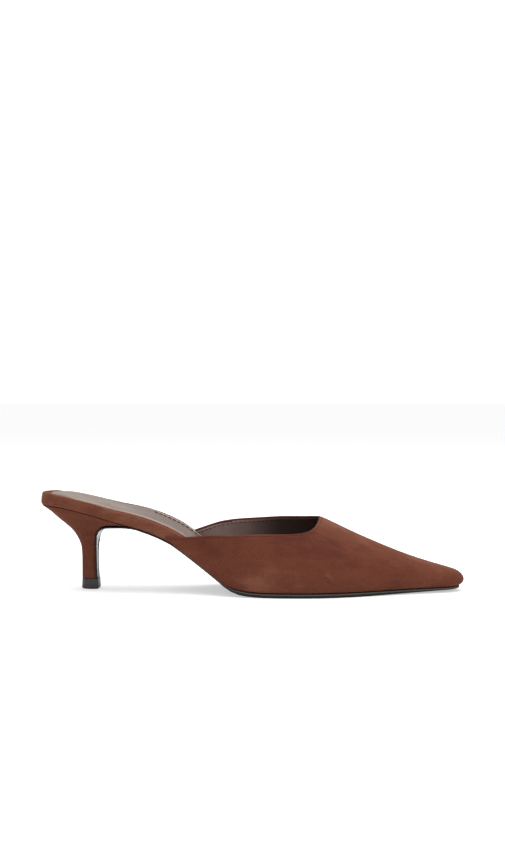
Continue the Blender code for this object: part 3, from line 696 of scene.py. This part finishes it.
def round_edges(made, wide, sharp, segments=2):
    """Bevels the edges that are sharper than an angle in degrees, and clears the specks that this leaves."""
    edit(made, "EDGE")
    bpy.ops.mesh.edges_select_sharp(sharpness=math.radians(sharp))
    bpy.ops.mesh.bevel(offset=wide, segments=segments, affect="EDGES", clamp_overlap=True)
    bpy.ops.mesh.select_all(action="SELECT")
    bpy.ops.mesh.dissolve_degenerate(threshold=0.02 * MM)
    bpy.ops.mesh.remove_doubles(threshold=0.01 * MM)
    bpy.ops.object.mode_set(mode="OBJECT")


def refine(made, levels):
    """Subdivides a piece smoothly and applies it."""
    lone(made)
    softer = made.modifiers.new("softer", "SUBSURF")
    softer.levels = levels
    softer.render_levels = levels
    bpy.ops.object.modifier_apply(modifier=softer.name)
    bpy.ops.object.shade_smooth()
    print(f"{made.name}: {len(made.data.polygons)} faces")


def give(made, *materials):
    """Gives a piece its materials."""
    made.data.materials.clear()
    for each in materials:
        made.data.materials.append(each)


# %% [markdown]
# The suede upper is one soft skin with a folded top edge. On the real shoe a lining is sewn in just under
# that fold, so the inside is leather up to about two millimetres from the edge and suede above it. Two
# skins, one inside the other, would be closer to how it is sewn, but they would cut through each other
# where they meet. The copy is one mesh with both: faces that look into the shoe take the lining, and the
# border between the two is drawn by the measured distance from the top edge.

# %% The upper's fine skin
upper = copy_of("upper", "suede_upper")
round_edges(upper, 0.45 * MM, 50)
refine(upper, 2)

# %% [markdown]
# Small soft forms are given by moving vertices. Sculpting by hand would do the same, but a rule can be read
# and changed. Each rule is a product of ramps: how far along the shoe, how far across, how far below the
# top. The helpers read and write a mesh as an array, and measure its highest or widest place in slices.

# %% Helpers that measure and move a mesh
DOWN = Vector((0, 0, -1))
HIGH_ABOVE = 0.2
EMPTY_SLICE = -1e9


def points_of(made):
    """The vertices of a mesh as an array."""
    co = np.zeros(len(made.data.vertices) * 3)
    made.data.vertices.foreach_get("co", co)
    return co.reshape(-1, 3)


def ramp(values, low, high):
    """0 below low, 1 above high, and smooth between."""
    share = np.clip((values - low) / (high - low), 0, 1)
    return share * share * (3 - 2 * share)


def move(made, amounts, axis):
    """Moves each vertex of a piece along one axis by its own amount."""
    at = points_of(made)
    at[:, axis] += amounts
    made.data.vertices.foreach_set("co", at.ravel())
    made.data.update()


def store(made, name, values):
    """Stores one number for each vertex, which a material reads by its name."""
    layer = made.data.attributes.new(name, "FLOAT", "POINT")
    layer.data.foreach_set("value", np.asarray(values, np.float32))


def slice_peaks(at, values, thick, start, chosen=slice(None)):
    """The largest value in each slice along X, among the chosen vertices, read at every vertex."""
    slices = np.clip(((at[:, 0] - start) / thick).astype(int), 0, None)
    peaks = np.full(slices.max() + 1, EMPTY_SLICE)
    np.maximum.at(peaks, slices[chosen], values[chosen])
    middles = start + (np.arange(len(peaks)) + 0.5) * thick
    return np.interp(at[:, 0], middles, peaks)


# %% [markdown]
# On the inner side of the foot the padded top edge stands a little proud of the wall, which is why it shows
# above the near edge. Both wings end thin: a shoemaker skives, or pares, leather where it tucks under
# another piece, so that no step shows. Here the wing ends are drawn in against the rim.

# %% The inner edge and the wing ends
INNER_EDGE_RISE = 1.2 * MM
RISE_GROWS = (-0.036, -0.008)
RISE_FADES = (0.016, 0.052)
INNER_SIDE = (0.008, 0.020)
RISE_REACHES_DOWN = 14 * MM
SKIVED = 1.3 * MM
SKIVED_OVER = 9 * MM

at = points_of(upper)
x, y, z = at.T
inner_tops = slice_peaks(at, z, 4 * MM, -80 * MM, y > INNER_SIDE[0])
rise = ramp(x, *RISE_GROWS) * (1 - ramp(x, *RISE_FADES)) * ramp(y, *INNER_SIDE)
rise *= INNER_EDGE_RISE * (1 - ramp(inner_tops - z, 0.0, RISE_REACHES_DOWN))
move(upper, rise, 2)
tip = x.min()
move(upper, -np.sign(y) * SKIVED * (1 - ramp(x, tip, tip + SKIVED_OVER)), 1)
print("the wings end at", round(tip / MM, 1), "mm; the inner edge rises by", round(rise.max() / MM, 2), "mm")

# %% [markdown]
# To know the distance from the top edge, the edge itself has to be found. The bevel and the subdivision
# have replaced its vertices, so it is felt out: from the middle of the collar a ray walks outwards in each
# direction, dropping onto the mesh from above, and the highest hit is the crest of the wall there.

# %% Where the top edge runs
COLLAR_MIDDLE = Vector((-0.008, 0.0, 0.0))
FEELS_FROM = 4.0
FEELS_TO = 52.0
FEEL_STEP = 0.1
CREST_TURNS = np.arange(-150, 150.1, 1.5)


def tree_of(*objects):
    """A search tree over the faces of some objects."""
    corners, faces = [], []
    for made in objects:
        base = len(corners)
        corners += [made.matrix_world @ v.co for v in made.data.vertices]
        faces += [[base + i for i in face.vertices] for face in made.data.polygons]
    return BVHTree.FromPolygons(corners, faces)


def crest(tree, turn):
    """The highest point of the wall in one direction from the middle of the collar, felt from above."""
    way = Vector((math.cos(turn), math.sin(turn), 0))
    best = None
    for out in np.arange(FEELS_FROM, FEELS_TO, FEEL_STEP):
        above = COLLAR_MIDDLE + way * (out * MM) + Vector((0, 0, HIGH_ABOVE))
        hit = tree.ray_cast(above, DOWN)[0]
        if hit is not None and (best is None or hit.z > best.z):
            best = hit
    return best


upper_tree = tree_of(upper)
crests = [crest(upper_tree, math.radians(turn)) for turn in CREST_TURNS]
crests = [point for point in crests if point is not None]
print("top edge from", [round(c / MM, 1) for c in crests[0]], "to", [round(c / MM, 1) for c in crests[-1]])
print("its height:", [round(point.z / MM, 1) for point in crests[::20]])

# %% Distance from the top edge
def distances(points, line, fine=12):
    """The distance of each point from a line of points, in millimetres."""
    dense = []
    for a, b in zip(line, line[1:]):
        dense += [a.lerp(b, k / fine) for k in range(fine)]
    tree = kdtree.KDTree(len(dense))
    for index, point in enumerate(dense):
        tree.insert(point, index)
    tree.balance()
    return np.array([tree.find(Vector(p))[2] for p in points]) / MM


from_top = distances(points_of(upper), crests)
store(upper, "from_top", from_top)
print("the furthest vertex is", round(from_top.max(), 1), "mm from the top edge")

# %% [markdown]
# Hands and brushes leave the nap lighter in some places and darker in others. On the photograph the ridge
# of the vamp, the toe cap and a patch low at the ball are light, and the side under the throat is dark. The
# toe cap and the ball patch come from brushing, the ridge is lighter partly from brushing and partly as
# painted light from above, and the side under the throat is simply set darker. Noise alone would put such
# patches anywhere, so they are listed as soft round spots. A crease or a scuff is pressed into the mesh
# itself, as a trough or a ridge along a short line, and along a fine one the nap also gets painted shade in
# the trough and a painted highlight on the ridge.

# %% The nap's light and dark spots, with painted light and shade, and creases pressed in
# Columns: middle of the spot, its reach along each axis, how much lighter it is made by brushing and painted
# light; a negative share makes it darker
NAP_AND_PAINTED_LIGHT_SPOTS = [
    # partly painted light from above, on the ridge of the vamp
    ((0.058, 0.000, 0.038), (0.028, 0.012, 0.012), 0.42),
    ((0.118, 0.000, 0.018), (0.018, 0.020, 0.016), 0.25),
    ((0.010, -0.037, 0.009), (0.018, 0.020, 0.008), 0.38),
    ((0.030, -0.036, 0.026), (0.018, 0.010, 0.010), -0.20),
    ((0.034, -0.028, 0.037), (0.014, 0.014, 0.009), -0.40),
    ((0.056, -0.026, 0.026), (0.016, 0.010, 0.010), -0.25),
    ((0.078, -0.024, 0.016), (0.018, 0.010, 0.008), -0.22),
    ((-0.018, -0.028, 0.030), (0.012, 0.010, 0.014), -0.20),
]
# Columns: start (x, z), end (x, z), width, depth, side; a ridge has a negative depth
CREASES = [
    ((0.0430, 0.0150), (0.0500, 0.0070), 0.0011, 0.00045, -1),
    ((0.0445, 0.0165), (0.0515, 0.0085), 0.0012, -0.00025, -1),
    ((0.0560, 0.0300), (0.0700, 0.0200), 0.0040, 0.00030, -1),
    ((0.0360, 0.0340), (0.0440, 0.0230), 0.0045, 0.00030, -1),
    ((-0.0150, 0.0220), (0.0060, 0.0160), 0.0060, 0.00035, -1),
    ((0.0560, 0.0300), (0.0720, 0.0180), 0.0045, 0.00030, 1),
    ((-0.0120, 0.0240), (0.0100, 0.0180), 0.0060, 0.00035, 1),
]
FINE_CREASE = 2 * MM
CREASE_SHADE_AND_HIGHLIGHT = 0.30


def soft_spots(points, spots):
    """How light the nap is made, by brushing and by painted light and shade: 0.5, plus each spot's share,
    which fades over its reach.
    """
    total = np.full(len(points), 0.5)
    for at, reach, share in spots:
        off = (points - np.array(at)) / np.array(reach)
        total += share * np.exp(-(off ** 2).sum(1))
    return np.clip(total, 0, 1)


def press(made, start, end, wide, deep, side=-1):
    """Presses a soft trough into one side of a skin between two (x, z) points; returns where, from 0 to 1."""
    at = points_of(made)
    normals = np.zeros(len(at) * 3)
    made.data.vertices.foreach_get("normal", normals)
    normals = normals.reshape(-1, 3)
    flat = at[:, [0, 2]]
    a, b = np.array(start), np.array(end)
    share = np.clip(((flat - a) @ (b - a)) / ((b - a) @ (b - a)), 0, 1)
    off = np.linalg.norm(flat - (a + share[:, None] * (b - a)), axis=1)
    ends = np.sin(np.pi * np.clip(share, 0.02, 0.98)) ** 0.5
    facing = ramp(normals[:, 1] * side, 0.15, 0.6) * (at[:, 1] * side > 0)
    amount = deep * ends * np.exp(-((off / wide) ** 2)) * facing
    made.data.vertices.foreach_set("co", (at - normals * amount[:, None]).ravel())
    made.data.update()
    return amount / deep


nap_and_painted_light_of_upper = soft_spots(points_of(upper), NAP_AND_PAINTED_LIGHT_SPOTS)
for start, end, wide, deep, side in CREASES:
    crease_share = press(upper, start, end, wide, deep, side)
    # along a fine crease the nap gets painted shade in a trough and a painted highlight on a ridge
    if wide < FINE_CREASE:
        nap_and_painted_light_of_upper += crease_share * (-CREASE_SHADE_AND_HIGHLIGHT if deep > 0 else CREASE_SHADE_AND_HIGHLIGHT)
store(upper, "nap_and_painted_light", np.clip(nap_and_painted_light_of_upper, 0, 1))
print(len(NAP_AND_PAINTED_LIGHT_SPOTS), "spots brushed,", len(CREASES), "creases pressed")

# %% [markdown]
# A face is lined if it looks into the shoe. Its height or its normal alone can't tell, because the vamp
# curves over. So each face looks along its normal, from just off the skin, and takes the lining when it
# sees the shoe's own wall, insole or sock within the width of a foot.

# %% Which faces look into the shoe
OFF_THE_SKIN = 0.3 * MM
LOOKS_AS_FAR_AS = 0.12

sight = tree_of(upper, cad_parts["insole"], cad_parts["sock"])
inside = 0
give(upper, suede, lining)
for face in upper.data.polygons:
    start = Vector(face.center) + Vector(face.normal) * OFF_THE_SKIN
    seen = sight.ray_cast(start, face.normal, LOOKS_AS_FAR_AS)[0] is not None
    face.material_index = int(seen)
    inside += seen
print(inside, "faces of", len(upper.data.polygons), "look into the shoe")
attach(upper, "root")
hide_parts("upper")

# %% [markdown]
# The insole board is wrapped in the same suede, which makes the thick rim at the back. It is a soft roll
# with no hard corner, so the copy only needs its faces subdivided. Between the ball and the heel the padded
# waist hangs by almost a millimetre. Rim, sock, heel and sole are glued together there, so all four sag by
# the same rule.

# %% The wrapped rim
WAIST_SAGS = 0.9 * MM
SAG_GROWS_BEHIND = (0.036, 0.056)
SAG_FADES_BEHIND = (0.080, 0.096)


def sag_of_waist(made):
    """Lets the waist hang a little between the ball and the heel, by the distance behind the middle."""
    behind = -points_of(made)[:, 0]
    share = ramp(behind, *SAG_GROWS_BEHIND) * (1 - ramp(behind, *SAG_FADES_BEHIND))
    move(made, -WAIST_SAGS * share, 2)


rim = copy_of("insole", "suede_rim")
refine(rim, 2)
sag_of_waist(rim)

# %% [markdown]
# Round the sock the wrap stands up in a low soft edge. It is highest along the arch on the inner side,
# where it shows beyond the sock as a dark line, so the nap there is darkened with painted shade as well. The
# edge could be a piece of its own, but it is the same suede, so the rim's own top vertices are lifted.

# %% The edge along the arch
SLICE = 3 * MM
ARCH_LIFT = 2.4 * MM
ARCH_GROWS = (-0.112, -0.050)
ARCH_FADES = (-0.036, -0.022)
FAR_LIFT = 0.5 * MM
FAR_FADES = (-0.080, -0.050)
FAR_SIDE = (0.008, 0.020)
EDGE_WIDE = (1.2 * MM, 2.6 * MM)
EDGE_DEEP = (1.5 * MM, 5 * MM)


def across(made, side):
    """For each vertex: how far it is inside the piece's edge on one side, and how far below its top there."""
    at = points_of(made)
    start = at[:, 0].min()
    edge = slice_peaks(at, side * at[:, 1], SLICE, start)
    top = slice_peaks(at, at[:, 2], SLICE, start)
    return edge - side * at[:, 1], top - at[:, 2]


x, y, z = points_of(rim).T
inward, below = across(rim, 1)
lift = ARCH_LIFT * ramp(x, *ARCH_GROWS) * (1 - ramp(x, *ARCH_FADES))
lift = np.maximum(lift, FAR_LIFT * (1 - ramp(x, *FAR_FADES)) * ramp(y, *FAR_SIDE))
lift *= (1 - ramp(inward, *EDGE_WIDE)) * (1 - ramp(below, *EDGE_DEEP))
move(rim, lift, 2)
print("the rim rises by", round(lift.max() / MM, 2), "mm along the arch")

# %% The dark line beyond the sock
FLAT = np.array((1, 1, 0))
WIDEST = 45 * MM
SHADED = 0.85
SHADED_WIDE = (1.4 * MM, 2.6 * MM)
SHADED_SIDE = (0.006, 0.014)
SHADED_FROM = (-0.120, -0.100)
SHADED_DEEP = (0.8 * MM, 2 * MM)


def outline(made, step=1.0 * MM, fine=0.2 * MM):
    """The piece's outline seen from above, as points on the floor, from the toe round the heel to the toe."""
    tree = tree_of(made)
    x = points_of(made)[:, 0]
    found = {-1: [], 1: []}
    for station in np.arange(x.min() + fine, x.max(), step):
        for side, line in found.items():
            for out in np.arange(WIDEST, 0, -fine):
                if tree.ray_cast(Vector((station, side * out, HIGH_ABOVE)), DOWN)[0] is not None:
                    line.append(Vector((station, side * out, 0)))
                    break
    return found[-1][::-1] + found[1]


at = points_of(rim)
x, y, z = at.T
inward = distances(at * FLAT, outline(rim)) * MM
# painted shade along the rim's far edge, where it turns down beyond the sock
shaded = SHADED * (1 - ramp(inward, *SHADED_WIDE)) * ramp(y, *SHADED_SIDE)
shaded *= ramp(x, *SHADED_FROM) * (1 - ramp(below, *SHADED_DEEP))
store(rim, "shaded", shaded)
print((shaded > SHADED / 2).sum(), "vertices of the rim are shaded")

# %% [markdown]
# Behind the sock and on its near side the same edge is a narrow lip with the wrap's pleats under it. Lower
# down, the seam between rim and heel climbs a little towards the back, and on the near side a faint
# upright joint shows where two ends of the wrap meet.

# %% The lip at the back, the seam and the joint
BACK_LIFT = 1.5 * MM
BACK_FADES = (6 * MM, 16 * MM)
NEAR_LIFT = 0.9 * MM
NEAR_FADES = (14 * MM, 55 * MM)
NEAR_SIDE = (2 * MM, 14 * MM)
LIP_STARTS = (0, 0.8 * MM)
LIP_ENDS = (1.6 * MM, 3.4 * MM)
SEAM_RISE = 1.0 * MM
SEAM_DEPTH = (3 * MM, 6.5 * MM)
SEAM_FADES = (18 * MM, 60 * MM)
WRAP_JOINT = ((-0.0919, 0.0450), (-0.0917, 0.0530))
# the first spot is painted light on the near front of the rim, the second sets the back a little darker, and
# the third darkens the far edge along the arch with painted shade
RIM_SPOTS = [
    ((-0.045, -0.030, 0.030), (0.030, 0.020, 0.020), 0.30),
    ((-0.125, 0.000, 0.050), (0.030, 0.040, 0.020), -0.12),
    ((-0.060, 0.034, 0.036), (0.050, 0.014, 0.020), -0.50),
]

from_back = x - x.min()
back_lift = BACK_LIFT * (1 - ramp(from_back, *BACK_FADES))
near_lift = NEAR_LIFT * (1 - ramp(from_back, *NEAR_FADES)) * ramp(-y, *NEAR_SIDE)
lip = np.maximum(back_lift, near_lift) * (1 - ramp(below, *EDGE_DEEP))
lip *= ramp(inward, *LIP_STARTS) * (1 - ramp(inward, *LIP_ENDS))
move(rim, lip, 2)
move(rim, SEAM_RISE * ramp(below, *SEAM_DEPTH) * (1 - ramp(from_back, *SEAM_FADES)), 2)
press(rim, *WRAP_JOINT, 0.8 * MM, 0.4 * MM)
store(rim, "nap_and_painted_light", soft_spots(points_of(rim), RIM_SPOTS))
give(rim, suede_rim)
print("the lip rises by", round(lip.max() / MM, 2), "mm")
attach(rim, "root")
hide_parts("insole")

# %% [markdown]
# The sock is a smooth leather sheet, cut clean, so its edge shows as a thin pale line. It stops a few
# millimetres short of the back and lies a little sunk between the wrap's edges. Its top keeps a small
# bevel that catches the light; faces that don't look up take the colour of the cut edge.

# %% The sock lining
SOCK_BACK_INSET = 4.0 * MM
INSET_FADES_OVER = 26 * MM
SOCK_SINKS = 0.35 * MM

sock = copy_of("sock", "sock_lining")
round_edges(sock, 0.2 * MM, 40)
refine(sock, 2)
sag_of_waist(sock)
x = points_of(sock)[:, 0]
move(sock, SOCK_BACK_INSET * (1 - ramp(x, x.min(), x.min() + INSET_FADES_OVER)), 0)
move(sock, -SOCK_SINKS, 2)

# %% [markdown]
# A foot presses the sock into a shallow cup: along the arch its far edge climbs with the rim, and behind
# the arch it dips a little. Two measures go to its material: the distance from its edge, and where on the
# inner side it is sewn.

# %% How the sock lies
FAR_DIP = 0.5 * MM
DIP_GROWS = (-0.122, -0.108)
DIP_FADES = (-0.085, -0.068)
ARCH_CUP = 0.8 * MM
CUP_GROWS = (-0.085, -0.062)
CUP_SIDE = (0, 8 * MM)
CUP_WIDE = (0.3, 8.0)
SEWN_SIDE = (0, 4 * MM)
SEWN_FROM = (-0.070, -0.054)
SEWN_TO = (-0.014, 0.006)
LOOKS_UP = 0.55

at = points_of(sock)
x, y, z = at.T
from_edge = distances(at * FLAT, outline(sock))
dip = FAR_DIP * ramp(x, *DIP_GROWS) * (1 - ramp(x, *DIP_FADES))
cup = ARCH_CUP * ramp(x, *CUP_GROWS) * (1 - ramp(x, *ARCH_FADES))
far_side = ramp(y, *CUP_SIDE) * (1 - ramp(from_edge, *CUP_WIDE))
move(sock, (cup - dip) * far_side, 2)
store(sock, "from_edge", from_edge)
store(sock, "sewn", ramp(y, *SEWN_SIDE) * ramp(x, *SEWN_FROM) * (1 - ramp(x, *SEWN_TO)))
give(sock, sock_top, sock_edge)
for face in sock.data.polygons:
    face.material_index = int(face.normal.z < LOOKS_UP)
print("the middle of the sock is", round(from_edge.max(), 1), "mm from its edge")
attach(sock, "root")
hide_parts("sock")

# %% [markdown]
# The heel is a hard plastic core with suede glued round it. The suede rounds every corner a little, and
# along the breast the turned-down sole covers its cut edges. Its top follows the seam that was raised at
# the rim, and a small pit is pressed into the cover.

# %% The covered heel
HEEL_TOP = (0.5 * MM, 7 * MM)
COVER_PIT = ((-0.1052, 0.0414), (-0.1044, 0.0420))
HEEL_SPOTS = [
    ((-0.10, -0.01, 0.040), (0.02, 0.03, 0.010), -0.15),
    ((-0.10, -0.01, 0.018), (0.012, 0.03, 0.014), 0.22),
]

heel = copy_of("heel", "suede_heel")
round_edges(heel, 0.3 * MM, 50)
refine(heel, 2)
sag_of_waist(heel)
x = points_of(heel)[:, 0]
heel_top = 1 - ramp(across(heel, -1)[1], *HEEL_TOP)
move(heel, SEAM_RISE * heel_top * (1 - ramp(x - x.min(), *SEAM_FADES)), 2)
press(heel, *COVER_PIT, 0.6 * MM, 0.4 * MM)
store(heel, "nap_and_painted_light", soft_spots(points_of(heel), HEEL_SPOTS))
give(heel, suede_heel)
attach(heel, "root")
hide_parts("heel")

# %% [markdown]
# The sole is thin leather. It is cut, not moulded, so it stays crisp: a small bevel on its edges, and no
# subdivision. Its faces take one of three finishes by where they are and where they look: the smooth
# bottom, the inked edge, and the polished flap that is turned down over the heel's breast.

# %% The sole
SEAT_FRONT = -0.076
SMOOTH_BELOW = 35
BOTTOM, EDGE, FLAP = range(3)


def keep_crisp(made):
    """Shades a piece smoothly, but for its sharper edges."""
    lone(made)
    bpy.ops.object.shade_smooth_by_angle(angle=math.radians(SMOOTH_BELOW))


def sole_kind(face):
    """Which finish a face of the sole takes."""
    if face.center.x < SEAT_FRONT and abs(face.normal.y) < 0.5 and face.normal.x > 0.1:
        return FLAP
    return BOTTOM if abs(face.normal.z) > 0.75 else EDGE


sole = copy_of("outsole", "smooth_sole")
sag_of_waist(sole)
round_edges(sole, 0.35 * MM, 40)
keep_crisp(sole)
give(sole, sole_bottom, sole_side, sole_flap)
for face in sole.data.polygons:
    face.material_index = sole_kind(face)
print("sole faces by finish:", [sum(f.material_index == k for f in sole.data.polygons) for k in range(3)])

# %% [markdown]
# The flap is polished only on its face, and its cut edges are inked like the rest, which draws the thin
# dark line beside the light flap. An inset splits off a narrow border for that. The pale line on the
# sole's edge, part wear and part painted highlight, needs a measure of its own: how far each vertex lies
# below the top of the solid sole.

# %% The flap's inked border, and the depth below the top
BORDER = 0.3 * MM
NO_LINE = 9.0

edit(sole, "FACE")
bpy.ops.object.mode_set(mode="OBJECT")
for face in sole.data.polygons:
    face.select = face.material_index == FLAP
bpy.ops.object.mode_set(mode="EDIT")
bpy.ops.mesh.inset(thickness=BORDER, depth=0)
bpy.ops.object.mode_set(mode="OBJECT")
for face in sole.data.polygons:
    if face.material_index == FLAP and not face.select:
        face.material_index = EDGE

sole_solid = tree_of(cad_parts["outsole"])
depths = []
for x, y, z in points_of(sole):
    hit = sole_solid.ray_cast(Vector((x, 0, HIGH_ABOVE)), DOWN)[0]
    depths.append((hit.z - z) / MM if hit is not None and x > SEAT_FRONT else NO_LINE)
store(sole, "below_top", depths)
print("sole faces by finish:", [sum(f.material_index == k for f in sole.data.polygons) for k in range(3)])
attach(sole, "root")
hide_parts("outsole")

# %% [markdown]
# The top piece is the small rubber block that the heel stands on. It is punched from a sheet, so it is as
# crisp as the sole, but its edges are worn rounder, and three segments in the bevel show that.

# %% The rubber top piece
top_piece = copy_of("top_piece", "rubber_top_piece")
round_edges(top_piece, 0.4 * MM, 40, 3)
keep_crisp(top_piece)
give(top_piece, rubber)
print(f"{top_piece.name}: {len(top_piece.data.polygons)} faces")
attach(top_piece, "root")
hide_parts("top_piece")

# %% [markdown]
# Stitches are real thread here. A bump line would do from far away, but a stitch throws its own small
# shadow and shows at the outline. One stitch is a short rod with rounded ends, squeezed flat and a little
# sunk, and each copy lies along a line that is felt out on the surface: on the lining a few millimetres
# under the fold, and on the sock along its far edge, where it is sewn down.

# %% One stitch, and a row of them
ROD_SIDES = 8
ROUNDED = 0.35
SQUEEZED = 0.7
STANDS_PROUD = 0.15


def one_stitch(long, thick):
    """A thread's short visible run, along X, with rounded ends."""
    bpy.ops.mesh.primitive_cylinder_add(
        vertices=ROD_SIDES, radius=thick / 2, depth=long, rotation=(0, math.pi / 2, 0)
    )
    made = bpy.context.object
    bpy.ops.object.transform_apply(location=False, rotation=True, scale=False)
    edit(made, "FACE")
    bpy.ops.mesh.select_all(action="SELECT")
    bpy.ops.mesh.bevel(offset=thick * ROUNDED, segments=2, affect="EDGES")
    bpy.ops.object.mode_set(mode="OBJECT")
    made.data.transform(Matrix.Diagonal((1.0, 1.0, SQUEEZED, 1.0)))
    return made


def even_steps(line, step):
    """Points at even steps along a line, with the direction at each."""
    at = np.array([p[:] for p in line])
    gone = np.concatenate([[0], np.cumsum(np.linalg.norm(np.diff(at, axis=0), axis=1))])
    stops = np.arange(step / 2, gone[-1], step)
    here = np.array([np.interp(stops, gone, at[:, k]) for k in range(3)]).T
    ahead = np.array([np.interp(stops + step / 4, gone, at[:, k]) for k in range(3)]).T
    return [(Vector(a), (Vector(b) - Vector(a)).normalized()) for a, b in zip(here, ahead) if (b - a).any()]


def stitch_row(name, line, tree, long, gap, thick):
    """A row of stitches along a line on a surface, as one piece."""
    first = one_stitch(long, thick)
    rows = []
    for at, along in even_steps(line, long + gap):
        touch, up = tree.find_nearest(at)[:2]
        side = up.cross(along).normalized()
        along = side.cross(up)
        place = Matrix((along, side, up)).transposed().to_4x4()
        place.translation = touch + up * thick * STANDS_PROUD
        copy = first.copy()
        copy.data = first.data.copy()
        copy.data.transform(place)
        bpy.context.scene.collection.objects.link(copy)
        rows.append(copy)
    bpy.data.objects.remove(first)
    lone(rows[0])
    for copy in rows:
        copy.select_set(True)
    bpy.ops.object.join()
    made = bpy.context.object
    made.name = name
    bpy.ops.object.shade_smooth()
    give(made, thread)
    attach(made, "root")
    print(f"{name}: {len(rows)} stitches")


# %% The rows under the fold, on the lining
SEWN_BELOW = 2.7 * MM
FEELS_INSIDE = 8 * MM
WING_FRONT = 30 * MM
OUTER_WING_BACK = -38 * MM
INNER_WING_BACK = -36 * MM


def felt_below(tree, top_line, down):
    """Points on the inner wall, a set distance below the top edge, felt from inside the shoe."""
    line = []
    for top in top_line:
        out = Vector((0, 1 if top.y > 0 else -1, 0))
        start = Vector((top.x, top.y, top.z - down)) - out * FEELS_INSIDE
        hit = tree.ray_cast(start, out, 0.02)[0]
        if hit is not None:
            line.append(hit)
    return line


outer_wing = [p for p in crests if p.y < 0 and OUTER_WING_BACK < p.x < WING_FRONT]
inner_wing = [p for p in crests if p.y > 0 and INNER_WING_BACK < p.x < WING_FRONT]
for name, wing in (("lining_stitches_outer", outer_wing), ("lining_stitches_inner", inner_wing)):
    line = felt_below(upper_tree, wing, SEWN_BELOW)
    stitch_row(name, line, upper_tree, 1.9 * MM, 0.9 * MM, 0.35 * MM)

# %% The row along the sock's far edge
ROW_BACK = -62 * MM
ROW_FRONT = -14 * MM
ROW_POINTS = 60


def far_edge_line(tree, inset, start, end):
    """A line on the sock's top, a set distance inside its far edge, between two stations."""
    line = []
    for x in np.linspace(start, end, ROW_POINTS):
        for y in np.arange(WIDEST, 0, -0.1 * MM):
            hit = tree.ray_cast(Vector((x, y, HIGH_ABOVE)), DOWN)[0]
            if hit is not None:
                line.append(Vector((x, hit.y - inset, hit.z)))
                break
    return line


sock_tree = tree_of(sock)
far_line = far_edge_line(sock_tree, SEWN_AT * MM, ROW_BACK, ROW_FRONT)
stitch_row("sock_stitches", far_line, sock_tree, 2.3 * MM, 0.9 * MM, 0.8 * MM)
